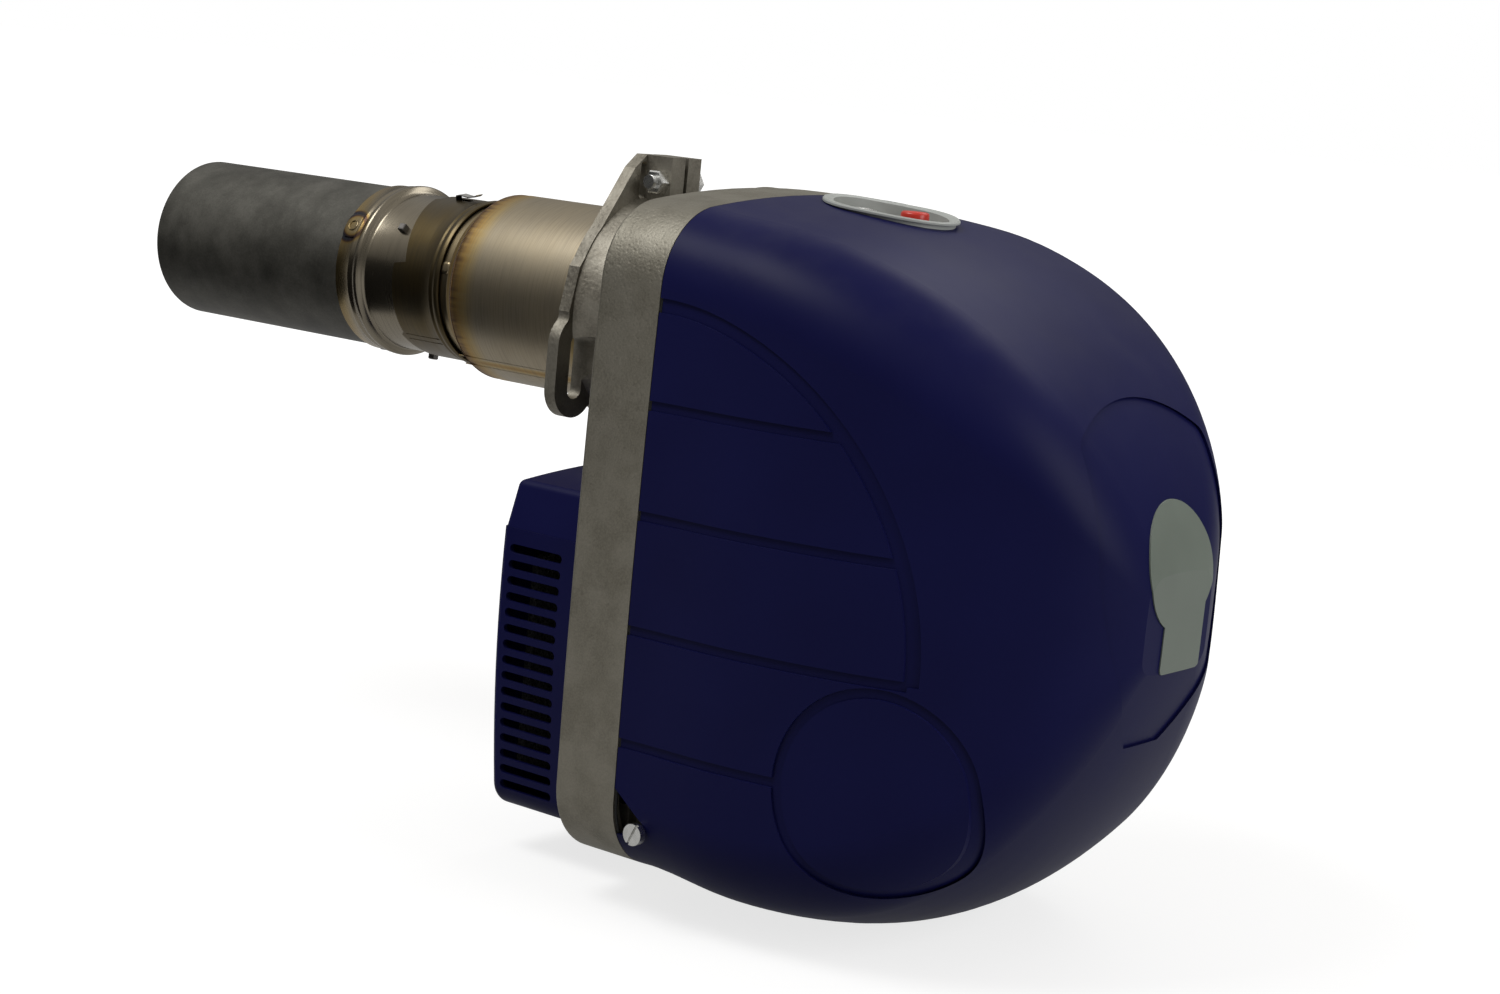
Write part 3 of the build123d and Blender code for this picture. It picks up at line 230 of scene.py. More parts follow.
# %% [markdown]
# ## Writing shaders as sums
# A finish is mostly arithmetic: how far along, how much wear, how dark. Wiring Math nodes by hand hides that.
# The small class below wraps a socket so that `1 - mask` or `a * b` adds the node itself, and one method makes
# every other node from its type, its settings and its sockets.

# %% Sockets that do sums
class Wire:
    """One shader value. Sums on it add Math nodes."""

    def __init__(self, finish, socket):
        self.finish, self.socket = finish, socket

    def _sum(self, operation, *others):
        return self.finish.node("ShaderNodeMath", {"operation": operation}, [self, *others])

    def __add__(self, other):
        return self._sum("ADD", other)

    __radd__ = __add__

    def __sub__(self, other):
        return self._sum("SUBTRACT", other)

    def __rsub__(self, other):
        return self.finish.node("ShaderNodeMath", {"operation": "SUBTRACT"}, [other, self])

    def __mul__(self, other):
        return self._sum("MULTIPLY", other)

    __rmul__ = __mul__

    def __truediv__(self, other):
        return self._sum("DIVIDE", other)

    def __pow__(self, other):
        return self._sum("POWER", other)

    def __abs__(self):
        return self._sum("ABSOLUTE")

    def most(self, other):
        return self._sum("MAXIMUM", other)

    def between(self, low, high):
        """0 below low, 1 above high, and smooth in between."""
        sockets = {"Value": self, "From Min": low, "From Max": high}
        return self.finish.node("ShaderNodeMapRange", {"interpolation_type": "SMOOTHSTEP"}, sockets)

    def near(self, centre, width):
        """1 at centre, falling to 0 that far on either side."""
        return 1 - abs(self - centre).between(0, width)


class Finish:
    """A material under construction, with a Principled shader at its end."""

    def __init__(self, name, colour, roughness, metallic=0.0, **constants):
        self.material = bpy.data.materials.new(name)
        self.material.use_nodes = True
        self.tree = self.material.node_tree
        self.shader = self.tree.nodes["Principled BSDF"]
        self.put("Base Color", colour)
        self.put("Roughness", roughness)
        self.put("Metallic", metallic)
        for socket, value in constants.items():
            self.put(socket.replace("_", " "), value)
        self.place = self.node("ShaderNodeTexCoord", out="Object")
        self.x, self.y, self.z = (self.part(axis) for axis in "XYZ")

    def node(self, kind, settings=None, sockets=None, out=0):
        made = self.tree.nodes.new(kind)
        for name, value in (settings or {}).items():
            if name == "stops":
                ramp = made.color_ramp.elements
                while len(ramp) < len(value):
                    ramp.new(0.5)
                for element, (where, colour) in zip(ramp, value):
                    element.position, element.color = where, (*colour, 1)
            else:
                setattr(made, name, value)
        pairs = sockets.items() if isinstance(sockets, dict) else enumerate(sockets or [])
        for name, value in pairs:
            self._plug(made.inputs[name], value)
        return Wire(self, made.outputs[out])

    def _plug(self, socket, value):
        if isinstance(value, Wire):
            self.tree.links.new(value.socket, socket)
        elif isinstance(value, tuple) and len(value) == 3 and socket.type == "RGBA":
            socket.default_value = (*value, 1)
        else:
            socket.default_value = value

    def put(self, name, value):
        self._plug(self.shader.inputs[name], value)

    def part(self, axis):
        return self.node("ShaderNodeSeparateXYZ", None, [self.place], out="XYZ".index(axis))

    def stretched(self, scale):
        return self.node("ShaderNodeVectorMath", {"operation": "MULTIPLY"}, [self.place, scale])

    def noise(self, size, detail=3.0, where=None, rough=0.5):
        """Cloudy pattern whose lumps are about size metres."""
        sockets = {"Vector": where or self.place, "Scale": 1 / size, "Detail": detail, "Roughness": rough}
        return self.node("ShaderNodeTexNoise", None, sockets)

    def cells(self, size):
        sockets = {"Vector": self.place, "Scale": 1 / size}
        return self.node("ShaderNodeTexVoronoi", {"feature": "F1"}, sockets)

    def reach(self, point):
        """Distance of the surface from a point, in metres."""
        return self.node("ShaderNodeVectorMath", {"operation": "DISTANCE"}, [self.place, point], out=1)

    def turn(self):
        """Angle round the tube in radians, from -Y towards +Z."""
        return self.node("ShaderNodeMath", {"operation": "ARCTAN2"}, [self.z, self.y * -1.0])

    def blend(self, share, first, second, how="MIX"):
        made = self.tree.nodes.new("ShaderNodeMix")
        made.data_type, made.blend_type = "RGBA", how
        self._plug(made.inputs["Factor"], share)
        self._plug(made.inputs[6], first)
        self._plug(made.inputs[7], second)
        return Wire(self, made.outputs[2])

    def ramp(self, value, stops):
        return self.node("ShaderNodeValToRGB", {"stops": stops}, [value])

    def bump(self, height, strength, depth):
        sockets = {"Height": height, "Strength": strength, "Distance": depth}
        self.put("Normal", self.node("ShaderNodeBump", None, sockets))


# %% [markdown]
# ## Moulded navy plastic
# The hood and the intake box are moulded in one dark navy plastic with a satin skin. Up close it has the very
# fine grain of an eroded mould and slow waves where the wall cooled, which is what breaks up a reflection.
# Dust greys the faces that look up.

# %% Navy plastic
def navy_plastic():
    finish = Finish("navy_plastic", (0.006, 0.0085, 0.075), 0.44, Specular_IOR_Level=0.08)
    grain = finish.noise(0.0009, 2)
    waves = finish.noise(0.06, 1)
    shade = finish.blend(waves, (0.006, 0.0065, 0.050), (0.008, 0.009, 0.066))
    up = finish.node("ShaderNodeSeparateXYZ", None, [finish.node("ShaderNodeNewGeometry", out="Normal")], out=2)
    dust = up.between(0.3, 1.0) * finish.noise(0.02, 4).between(0.35, 0.8) * 0.05
    finish.put("Base Color", finish.blend(dust, shade, (0.16, 0.16, 0.17)))
    finish.put("Roughness", 0.36 + waves * 0.06 + dust * 0.5)
    finish.bump(grain + waves * 4, 0.2, 0.0001)
    return finish.material


# %% [markdown]
# ## Cast aluminium
# Sand leaves its mark on a casting: a coarse, pitted skin, duller where it was blasted and brighter where edges
# were rubbed. Two noises of different size make the skin, cells make the pits, and a slow one the stains.

# %% Cast aluminium
def cast_aluminium(name, colour, stain, grain=0.0011):
    finish = Finish(name, colour, 0.5, 0.9)
    skin = finish.noise(grain, 5, rough=0.65)
    patches = finish.noise(0.018, 4)
    pits = finish.cells(grain * 2.4).between(0.0, 0.55)
    base = finish.blend(patches.between(0.35, 0.7), colour, stain)
    base = finish.blend(skin.between(0.3, 0.7) * 0.35, base, tuple(c * 1.5 for c in colour))
    finish.put("Base Color", base)
    finish.put("Roughness", 0.40 + patches * 0.12 + skin * 0.12)
    finish.bump(skin * 0.8 + pits * 0.5, 0.55, 0.0004)
    return finish.material


# %% [markdown]
# ## Heat-tinted steel
# Bright steel that has been hot wears its history in colour: straw, then brown, purple and blue the hotter it
# got. So one value, the heat, runs through one ramp of temper colours. Each piece says where it was hot: beside
# the weld at the tube's mouth, along the seam, round a spot weld. Fine lines of rolled sheet run round the tube,
# which is a noise squeezed along X, and the scorch beside the mouth has teeth, a noise stretched along X.

# %% Temper colours
TEMPER = [(0.42, 0.37, 0.285), (0.48, 0.36, 0.17), (0.42, 0.27, 0.09), (0.15, 0.085, 0.045), (0.085, 0.05, 0.06),
          (0.045, 0.05, 0.075)]


def steel(name, heat_of, dim=1.0, roughness=0.22):
    """Rolled steel sheet. heat_of takes the finish and gives 0 for cold to 1 for blue heat. dim darkens it all."""
    base, straw, gold, brown, purple, blue = (tuple(c * dim for c in tone) for tone in TEMPER)
    finish = Finish(name, base, roughness, 1.0)
    lines = finish.noise(1.0, 4, finish.stretched((1500.0, 40.0, 40.0)))
    smears = finish.noise(0.045, 4, rough=0.6)
    heat = heat_of(finish) + (smears - 0.5) * 0.12
    temper = finish.ramp(
        heat,
        [(0.0, base), (0.30, straw), (0.52, gold), (0.70, brown), (0.84, purple), (1.0, blue)],
    )
    worn = finish.blend(lines.between(0.42, 0.66) * 0.3, temper, tuple(c * 0.45 for c in base))
    finish.put("Base Color", worn)
    finish.put("Roughness", roughness + lines * 0.10 + smears * 0.08 + heat * 0.08)
    finish.bump(lines, 0.10, 0.00006)
    return finish.material


# %% [markdown]
# ## Scaled flame tube
# The flame tube is heat-resisting sheet with a dark, matt oxide skin, cloudy like old pewter. The clouds are
# the whole look, so they are two noises of different size multiplied together.

# %% Oxide skin
def oxide_skin():
    finish = Finish("oxide_skin", (0.15, 0.148, 0.135), 0.55, 0.75)
    clouds = finish.noise(0.035, 5, rough=0.6)
    specks = finish.noise(0.0012, 3)
    colour = finish.ramp(
        clouds * 0.8 + specks * 0.2,
        [(0.34, (0.052, 0.050, 0.043)), (0.50, (0.095, 0.092, 0.080)), (0.66, (0.15, 0.145, 0.128))],
    )
    finish.put("Base Color", colour)
    finish.put("Roughness", 0.46 + clouds * 0.16)
    finish.bump(specks + clouds * 0.5, 0.25, 0.00015)
    return finish.material


# %% [markdown]
# ## Small parts
# Zinc plate is bright with a cold, slightly uneven skin. The rest are plain moulded plastics, brass, glazed
# ceramic and foam, each with a grain or a wave of its own at its own size.

# %% Zinc, brass, ceramic, plastics and foam
def plated(name, colour, roughness):
    finish = Finish(name, colour, roughness, 1.0)
    cloud = finish.noise(0.004, 4)
    finish.put("Base Color",
               finish.blend(cloud.between(0.4, 0.7) * 0.4, colour, tuple(c * 0.72 for c in colour)))
    finish.put("Roughness", roughness + cloud * 0.14)
    finish.bump(finish.noise(0.0006, 2), 0.15, 0.0001)
    return finish.material


def moulded(name, colour, roughness, grain=0.0007):
    finish = Finish(name, colour, roughness)
    skin = finish.noise(grain, 2)
    drift = finish.noise(0.03, 2)
    finish.put("Base Color",
               finish.blend(drift, tuple(c * 0.9 for c in colour), tuple(c * 1.1 for c in colour)))
    finish.put("Roughness", roughness + drift * 0.08)
    finish.bump(skin, 0.2, 0.0001)
    return finish.material


def glazed():
    finish = Finish("glazed_ceramic", (0.80, 0.78, 0.72), 0.18, Coat_Weight=0.6)
    soot = finish.x.between(-0.09, -0.125) * finish.noise(0.006, 3)
    finish.put("Base Color", finish.blend(soot, (0.80, 0.78, 0.72), (0.22, 0.18, 0.14)))
    return finish.material


def open_foam():
    finish = Finish("open_foam", (0.035, 0.035, 0.036), 0.95)
    pores_and_painted_shade = finish.cells(0.0022)
    # The colour is darker in the middle of each pore, which is painted shade in the pores; the same cells make the
    # pores' bump.
    finish.put("Base Color",
               finish.blend(pores_and_painted_shade.between(0.1, 0.6), (0.012, 0.012, 0.012), (0.06, 0.06, 0.062)))
    finish.bump(pores_and_painted_shade, 0.9, 0.0012)
    return finish.material


# %% [markdown]
# ## Stations along the tube
# Several finishes and pieces share the same places, so these are named once. Lengths here are in millimetres,
# turns are degrees round the tube from -Y towards +Z.

# %% Places on the tube
MOUTH_WELD = -100.0
COLLAR_EDGE = -203.0
COLLAR_R = 52.7
SPOT_X = -197.0
SPOT_TURNS = (31, 151, 271)
SEAM_TURN = -50.5
TUBE_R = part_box("blast_tube")[1].z / MM


def around(x, radius, turn):
    """A point on the tube in metres."""
    angle = math.radians(turn)
    return (x * MM, -radius * math.cos(angle) * MM, radius * math.sin(angle) * MM)


# %% Give every CAD node its finish
NAVY = navy_plastic()
CAST = cast_aluminium("cast_aluminium", (0.245, 0.230, 0.190), (0.185, 0.172, 0.138))
FLANGE_CAST = cast_aluminium("flange_casting", (0.30, 0.28, 0.235), (0.17, 0.155, 0.125), grain=0.0016)


def mouth_heat(finish):
    """Scorched at the mouth's weld with teeth that fade along the tube, and a little at seam and flange."""
    teeth = finish.noise(1.0, 2, finish.stretched((18.0, 420.0, 420.0)))
    fade = 1 - finish.x.between(MOUTH_WELD * MM, (MOUTH_WELD + 22) * MM)
    scorch = fade * (0.42 + teeth * 0.35) * finish.x.between((MOUTH_WELD - 0.6) * MM, MOUTH_WELD * MM)
    weld = finish.x.near(MOUTH_WELD * MM, 1.3 * MM) * 0.8
    lip = finish.x.near((MOUTH_WELD - 5) * MM, 5 * MM) * 0.45
    seam = finish.turn().near(math.radians(SEAM_TURN), math.radians(4.5)) * 0.5
    return scorch.most(weld).most(lip).most(seam).most(finish.x.near(-0.002, 0.012) * 0.3) + 0.05


def spot_heat(finish):
    """Blue at the spot welds' rims, brown round them, and a light straw over the band."""
    near = None
    for turn in SPOT_TURNS:
        ring = finish.reach(around(SPOT_X, COLLAR_R, turn)).near(9.2 * MM, 4.2 * MM)
        near = ring if near is None else near.most(ring)
    return near * 0.72 + finish.x.near((COLLAR_EDGE + 2) * MM, 14 * MM) * 0.34


def sleeve_heat(finish):
    return finish.noise(0.022, 2) * 0.30 + 0.12


def ring_heat(finish):
    return finish.noise(0.015, 2) * 0.2 + 0.05


TUBE = steel("blast_tube_steel", mouth_heat, dim=0.9, roughness=0.34)
COLLAR = steel("collar_steel", spot_heat, dim=0.62, roughness=0.16)
SLEEVE = steel("sleeve_steel", sleeve_heat, dim=0.24, roughness=0.26)
RING = steel("window_ring_steel", ring_heat, dim=0.75)
OXIDE = oxide_skin()
ZINC = plated("zinc_plate", (0.70, 0.70, 0.68), 0.2)
DARK_STEEL = plated("dark_steel", (0.20, 0.19, 0.18), 0.35)
BRASS = plated("machined_brass", (0.72, 0.52, 0.20), 0.18)
GREY = moulded("bezel_grey", (0.40, 0.42, 0.40), 0.45)
PLATE = moulded("plate_grey", (0.17, 0.20, 0.17), 0.38)
RED = moulded("button_red", (0.62, 0.035, 0.02), 0.28)
BLACK = moulded("control_black", (0.018, 0.018, 0.020), 0.42)
UMBER = moulded("control_umber", (0.075, 0.055, 0.038), 0.5)
RUBBER = moulded("seal_rubber", (0.012, 0.012, 0.012), 0.7)
CERAMIC = glazed()
FOAM = open_foam()

WEARS = {
    NAVY: ["hood", "intake_cap", "intake_cover"],
    CAST: ["fan_housing", "tube_socket", "fan_scroll", "air_throat", "motor_front_bell", "motor_rear_bell",
           "damper_flap", "gas_inlet", "fan_hub"],
    FLANGE_CAST: ["clamp_flange"],
    TUBE: ["blast_tube"],
    COLLAR: ["flame_collar", "collar_rivets"],
    SLEEVE: ["recirculation_sleeve"],
    RING: ["bayonet_ring", "baffle_disc"],
    OXIDE: ["flame_tube"],
    ZINC: ["pinch_nut", "pinch_bolt", "hood_screws", "plate_screws", "gas_inlet_screws", "motor_plate",
           "motor_shaft", "fan_wheel", "gas_lance", "damper_spindle"],
    DARK_STEEL: ["sleeve_screws", "lance_spider", "electrode_clamp", "ignition_rods", "sensor_rod",
                 "motor_stator"],
    BRASS: ["gas_nozzle"],
    GREY: ["window_ring", "motor_capacitor"],
    PLATE: ["label_plate"],
    RED: ["reset_button"],
    BLACK: ["control_base", "ignition_transformer", "damper_servo"],
    UMBER: ["control_box"],
    CERAMIC: ["ignition_ceramics", "sensor_ceramic"],
    FOAM: ["intake_lining"],
}
for material, names in WEARS.items():
    for name in names:
        nodes[name].data.materials.clear()
        nodes[name].data.materials.append(material)
bare = set(nodes) - {name for names in WEARS.values() for name in names}
print("nodes without a finish:", sorted(bare))

# %% [markdown]
# ## Growing small parts with Geometry Nodes
# A bead, a thread or a ring of screws is one small shape and a rule for where it goes. Geometry Nodes hold
# exactly that: sizes are the tree's inputs, so one tree serves several pieces. The tree ends by realising its
# copies and setting their material. The result is then copied out as a plain mesh.

# %% A builder for node trees
class Grower:
    """A Geometry Nodes tree being built, with named size inputs."""

    def __init__(self, name, sizes):
        self.tree = bpy.data.node_groups.new(name, "GeometryNodeTree")
        face = self.tree.interface
        face.new_socket("Geometry", in_out="OUTPUT", socket_type="NodeSocketGeometry")
        self.sizes = sizes
        for label, value in sizes.items():
            kind = "NodeSocketInt" if isinstance(value, int) else "NodeSocketFloat"
            face.new_socket(label, in_out="INPUT", socket_type=kind)
        self.inputs = self.tree.nodes.new("NodeGroupInput")

    def size(self, label):
        return self.inputs.outputs[label]

    def node(self, kind, sockets=None, out=0, **settings):
        made = self.tree.nodes.new(kind)
        for name, value in settings.items():
            setattr(made, name, value)
        for name, value in (sockets or {}).items():
            if isinstance(value, bpy.types.NodeSocket):
                self.tree.links.new(value, made.inputs[name])
            else:
                made.inputs[name].default_value = value
        return made.outputs[out]

    def grow(self, name, geometry, material, body, smooth=True, move=None):
        """Finish the tree, run it, and leave a plain mesh that rides on a body."""
        solid = self.node("GeometryNodeRealizeInstances", {0: geometry})
        painted = self.node("GeometryNodeSetMaterial", {0: solid, "Material": material})
        self.tree.links.new(painted, self.tree.nodes.new("NodeGroupOutput").inputs[0])
        carrier = bpy.data.objects.new(name + "_carrier", bpy.data.meshes.new(name + "_empty"))
        bpy.context.scene.collection.objects.link(carrier)
        modifier = carrier.modifiers.new("grow", "NODES")
        modifier.node_group = self.tree
        for item in self.tree.interface.items_tree:
            if item.in_out == "INPUT":
                modifier[item.identifier] = self.sizes[item.name]
        bpy.context.view_layer.update()
        grown = bpy.data.meshes.new_from_object(carrier.evaluated_get(bpy.context.evaluated_depsgraph_get()))
        bpy.data.objects.remove(carrier)
        return settle(name, grown, material, body, smooth, move)


def settle(name, mesh, material, body, smooth=True, move=None):
    """Put a finished mesh in the scene, in the row frame, riding on a CAD body."""
    if move is not None:
        mesh.transform(move)
    mesh.name = name
    if not mesh.materials:
        mesh.materials.append(material)
    for polygon in mesh.polygons:
        polygon.use_smooth = smooth
    piece = bpy.data.objects.new(name, mesh)
    bpy.context.scene.collection.objects.link(piece)
    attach(piece, body)
    print(f"{name}: {len(mesh.polygons)} faces on {body}")
    return piece


# %% Round cords
def cord_mesh(name, points, radius, closed=False, sides=10, smooth_steps=4):
    """A round cord through points, as a mesh."""
    curve = bpy.data.curves.new(name, "CURVE")
    curve.dimensions = "3D"
    curve.bevel_depth = radius
    curve.bevel_resolution = sides // 4
    curve.resolution_u = smooth_steps
    curve.use_fill_caps = not closed
    spline = curve.splines.new("NURBS")
    spline.points.add(len(points) - 1)
    for point, place in zip(spline.points, points):
        point.co = (*place, 1)
    spline.use_cyclic_u = closed
    spline.use_endpoint_u = not closed
    spline.order_u = 3 if closed else 4
    carrier = bpy.data.objects.new(name + "_carrier", curve)
    bpy.context.scene.collection.objects.link(carrier)
    bpy.context.view_layer.update()
    mesh = bpy.data.meshes.new_from_object(carrier.evaluated_get(bpy.context.evaluated_depsgraph_get()))
    bpy.data.objects.remove(carrier)
    return mesh


# %% [markdown]
# ## Threads
# A thread is a ridge that climbs round its bolt. A spiral curve carries a small three-cornered profile, which
# is cheap and reads as a thread from any distance at which a bolt is looked at.

# %% Thread on the pinch bolt and in the gas port
def thread(name, radius, length, pitch, material, body, move):
    grower = Grower(name + "_tree", {
        "Radius": radius, "Length": length, "Turns": length / pitch, "Ridge": pitch * 0.3,
    })
    spiral = grower.node(
        "GeometryNodeCurveSpiral",
        {
            "Resolution": 28,
            "Rotations": grower.size("Turns"),
            "Start Radius": grower.size("Radius"),
            "End Radius": grower.size("Radius"),
            "Height": grower.size("Length"),
        },
    )
    profile = grower.node("GeometryNodeCurvePrimitiveCircle", {"Resolution": 3, "Radius": grower.size("Ridge")})
    ridge = grower.node("GeometryNodeCurveToMesh", {0: spiral, 1: profile, "Fill Caps": True})
    return grower.grow(name, ridge, material, body, smooth=False, move=move)


nut_low, nut_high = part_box("pinch_nut")
bolt_low, bolt_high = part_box("pinch_bolt")
nut_axis = (nut_low + nut_high) / 2
tip_y = bolt_low.y if abs(bolt_low.y) > abs(bolt_high.y) else bolt_high.y
outside = abs(tip_y) - abs(nut_axis.y) - (nut_high.y - nut_low.y) / 2
towards_tip = Matrix.Rotation(math.radians(90 if tip_y < 0 else -90), 4, "X")
near_nut = Vector((nut_axis.x, tip_y + math.copysign(outside, -tip_y), nut_axis.z))
thread("pinch_thread", 3.75 * MM, outside - 0.7 * MM, 1.25 * MM, ZINC, "burner",
       Matrix.Translation(near_nut) @ towards_tip)

port_low, port_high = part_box("gas_inlet")
thread("port_thread", 9.7 * MM, 14 * MM, 1.8 * MM, CAST, "burner",
       Matrix.Translation(((port_low.x + port_high.x) / 2, port_high.y - 0.5 * MM, 0)) @
       Matrix.Rotation(math.radians(90), 4, "X"))

# %% [markdown]
# ## The tube, from its mouth to the flame tube
# These parts are rolled and pressed from sheet: a collar with a pressed ridge and bead, a bayonet ring with
# windows, a sleeve whose edge is cut as three cam ramps, and the blast tube with its spun mouth. Sheet is easy to
# say as a grid: stations along the axis, angles round it, a radius at each station, and which cells are cut
# away. The function below turns such a grid into one closed sheet with inner and outer skins and closed edges.

# %% Rolled sheet
def rolled(name, stations, wall, material, body, stands_for, cut=None, shift=None, crease=35):
    """stations: (x, outer radius) in mm. cut(x, turn) says what is cut away, shift(turn) moves the first edge."""
    turns = [2 * k for k in range(180)]
    shape = bmesh.new()
    skins = []
    for depth in (0, wall):
        grid = []
        for turn in turns:
            row = []
            for k, (x, radius) in enumerate(stations):
                push = shift(turn) if shift and k == 0 else 0.0
                row.append(shape.verts.new(around(x + push, radius - depth, turn)))
            grid.append(row)
        skins.append(grid)
    count, last = len(turns), len(stations) - 1

    def solid(j, i):
        if not 0 <= i < last:
            return False
        middle = (stations[i][0] + stations[i + 1][0]) / 2
        return not (cut and cut(middle, turns[j % count] + 1))

    for j in range(count):
        n = (j + 1) % count
        for i in range(last):
            if not solid(j, i):
                continue
            for grid in skins:
                shape.faces.new((grid[j][i], grid[j][i + 1], grid[n][i + 1], grid[n][i]))
            walls = (((j, i), (n, i), solid(j, i - 1)), ((j, i + 1), (n, i + 1), solid(j, i + 1)),
                     ((j, i), (j, i + 1), solid(j - 1, i)), ((n, i), (n, i + 1), solid(j + 1, i)))
            for (j0, i0), (j1, i1), joined in walls:
                if not joined:
                    shape.faces.new((skins[0][j0][i0], skins[0][j1][i1], skins[1][j1][i1], skins[1][j0][i0]))
    bmesh.ops.delete(shape, geom=[v for v in shape.verts if not v.link_faces], context="VERTS")
    bmesh.ops.recalc_face_normals(shape, faces=shape.faces)
    for edge in shape.edges:
        edge.smooth = len(edge.link_faces) == 2 and edge.calc_face_angle(0) < math.radians(crease)
    mesh = bpy.data.meshes.new(name)
    shape.to_mesh(mesh)
    shape.free()
    piece = settle(name, mesh, material, body)
    if stands_for:
        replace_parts(piece, *stands_for)
    return piece


# %% Flame tube, collar, window ring, sleeve and blast tube
FLAME_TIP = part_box("flame_tube")[0].x / MM
NECK_R = 49.3
SLEEVE_R = 50.4
SLEEVE_EDGE, SLEEVE_END = -155.5, -116.0
WINDOW = (-141.0, -119.0)
WINDOW_SPAN, WEB_TURN = 51, 13
RAMP_RISE, RAMP_FALL = 9.5, -3.0


def window_cut(x, turn):
    return WINDOW[0] < x < WINDOW[1] and (turn - WEB_TURN - 30 + WINDOW_SPAN / 2) % 60 < WINDOW_SPAN


def cam_ramp(turn):
    """The sleeve's edge steps out at each cam and runs back along a ramp."""
    part = (turn - 11) % 120
    return RAMP_RISE + (RAMP_FALL - RAMP_RISE) * part / 64 if part < 64 else 0.0


def top_slot(x, turn):
    return -145 < x < -133 and 78 < turn % 360 < 84


FLAME_SHEET = 2.0
NECK_SHEET = 0.9
SLEEVE_SHEET = 0.8
TUBE_SHEET = 1.4
rolled("flame_tube_skin", [(FLAME_TIP, 50.4), (FLAME_TIP + 0.6, 51), (-290, 51), (-184, 51)],
       FLAME_SHEET, OXIDE, "burner", ["flame_tube"], crease=30)
rolled("collar_skin",
       [(COLLAR_EDGE, 52.0), (COLLAR_EDGE + 0.4, 52.6), (-193, COLLAR_R), (-191.8, 53.3), (-190.2, 53.4),
        (-188.8, 52.8), (-187.4, 53.0), (-186.0, 54.0), (-184.4, 54.1), (-183.0, 53.4), (-181.6, 50.8),
        (-180.6, 49.6), (-179.4, NECK_R), (-156, NECK_R), (WINDOW[0] - 1, NECK_R)],
       NECK_SHEET, COLLAR, "burner", ["flame_collar"], crease=50)
rolled("window_ring_skin",
       [(WINDOW[0] - 1.2, NECK_R), (WINDOW[0], NECK_R), (-130, NECK_R), (WINDOW[1], NECK_R), (-112, NECK_R),
        (MOUTH_WELD - 1, NECK_R)],
       NECK_SHEET, RING, "burner", ["bayonet_ring"], cut=window_cut)
rolled("sleeve_skin",
       [(SLEEVE_EDGE, SLEEVE_R), (-145, SLEEVE_R), (-139, SLEEVE_R), (-133, SLEEVE_R), (-125.2, SLEEVE_R),
        (-124.2, 50.9), (-123.2, 51.0), (-122.2, 50.6), (-121.2, 50.7), (-119.6, 51.7), (-117.6, 51.9), (SLEEVE_END, 51.2)],
       SLEEVE_SHEET, SLEEVE, "sleeve", ["recirculation_sleeve"], cut=top_slot, shift=cam_ramp, crease=50)
rolled("blast_tube_skin",
       [(-108.6, NECK_R + 0.3), (-109.0, 51.2), (-107.6, 52.3), (-105.6, 53.4), (-102.4, 55.4),
        (MOUTH_WELD, 56.7), (MOUTH_WELD + 0.8, 57.2), (-97.0, TUBE_R - 0.25), (-94, TUBE_R), (-40, TUBE_R),
        (60, TUBE_R), (96, TUBE_R)],
       TUBE_SHEET, TUBE, "burner", ["blast_tube"], crease=50)


# %% [markdown]
# ## Weld seams
# Rolled tube is closed by a long weld, low on the near flank. Here it is a joggled lap: two fine weld lines a
# few millimetres apart with a gold strip of heated steel between them. A weld is a chain of flattened balls
# strung along a line, which Geometry Nodes say in four steps. The mouth's weld is the same chain bent round.

# %% Weld beads
def bead_ball(grower, flat):
    ball = grower.node("GeometryNodeMeshUVSphere", {"Segments": 8, "Rings": 5, "Radius": grower.size("Bead")})
    return grower.node("GeometryNodeTransform", {0: ball, "Scale": flat})


def weld_line(name, start, end, bead, turn, radius, body, material):
    """A straight weld along the tube. Places in mm."""
    count = int((end - start) / (bead * 1.1))
    grower = Grower(name + "_tree", {"Length": (end - start) * MM, "Bead": bead * MM, "Count": count})
    step = grower.node("ShaderNodeCombineXYZ", {0: grower.size("Length")})
    line = grower.node("GeometryNodeMeshLine", {"Count": grower.size("Count"), "Offset": step}, mode="END_POINTS")
    beads = grower.node("GeometryNodeInstanceOnPoints",
                        {"Points": line, "Instance": bead_ball(grower, (1.0, 0.8, 0.45))})
    # +Z of the line goes outwards at that turn
    place = Matrix.Rotation(math.radians(90 - turn), 4, "X") @ Matrix.Translation((start * MM, 0, radius * MM))
    return grower.grow(name, beads, material, body, move=place)


def weld_ring(name, x, bead, radius, body, material):
    """A weld round the tube. Places in mm."""
    count = int(math.tau * radius / (bead * 1.25))
    grower = Grower(name + "_tree", {"Radius": radius * MM, "Bead": bead * MM, "Count": count})
    circle = grower.node("GeometryNodeMeshCircle", {"Vertices": grower.size("Count"), "Radius": grower.size("Radius")})
    beads = grower.node("GeometryNodeInstanceOnPoints",
                        {"Points": circle, "Instance": bead_ball(grower, (0.9, 0.9, 0.9))})
    place = Matrix.Translation((x * MM, 0, 0)) @ Matrix.Rotation(math.pi / 2, 4, "Y")
    return grower.grow(name, beads, material, body, move=place)


for side, offset in (("upper", 4.2), ("lower", -4.2)):
    weld_line(f"seam_{side}", -104.0, -1.0, 0.75, SEAM_TURN + offset, TUBE_R - 0.1, "burner", TUBE)
weld_ring("mouth_weld", MOUTH_WELD + 0.1, 0.75, 56.75, "burner", TUBE)
weld_line("sleeve_seam_upper", -153.5, -122.5, 0.6, -44.5, SLEEVE_R - 0.05, "sleeve", SLEEVE)
weld_line("sleeve_seam_lower", -153.5, -122.5, 0.6, -49.5, SLEEVE_R - 0.05, "sleeve", SLEEVE)

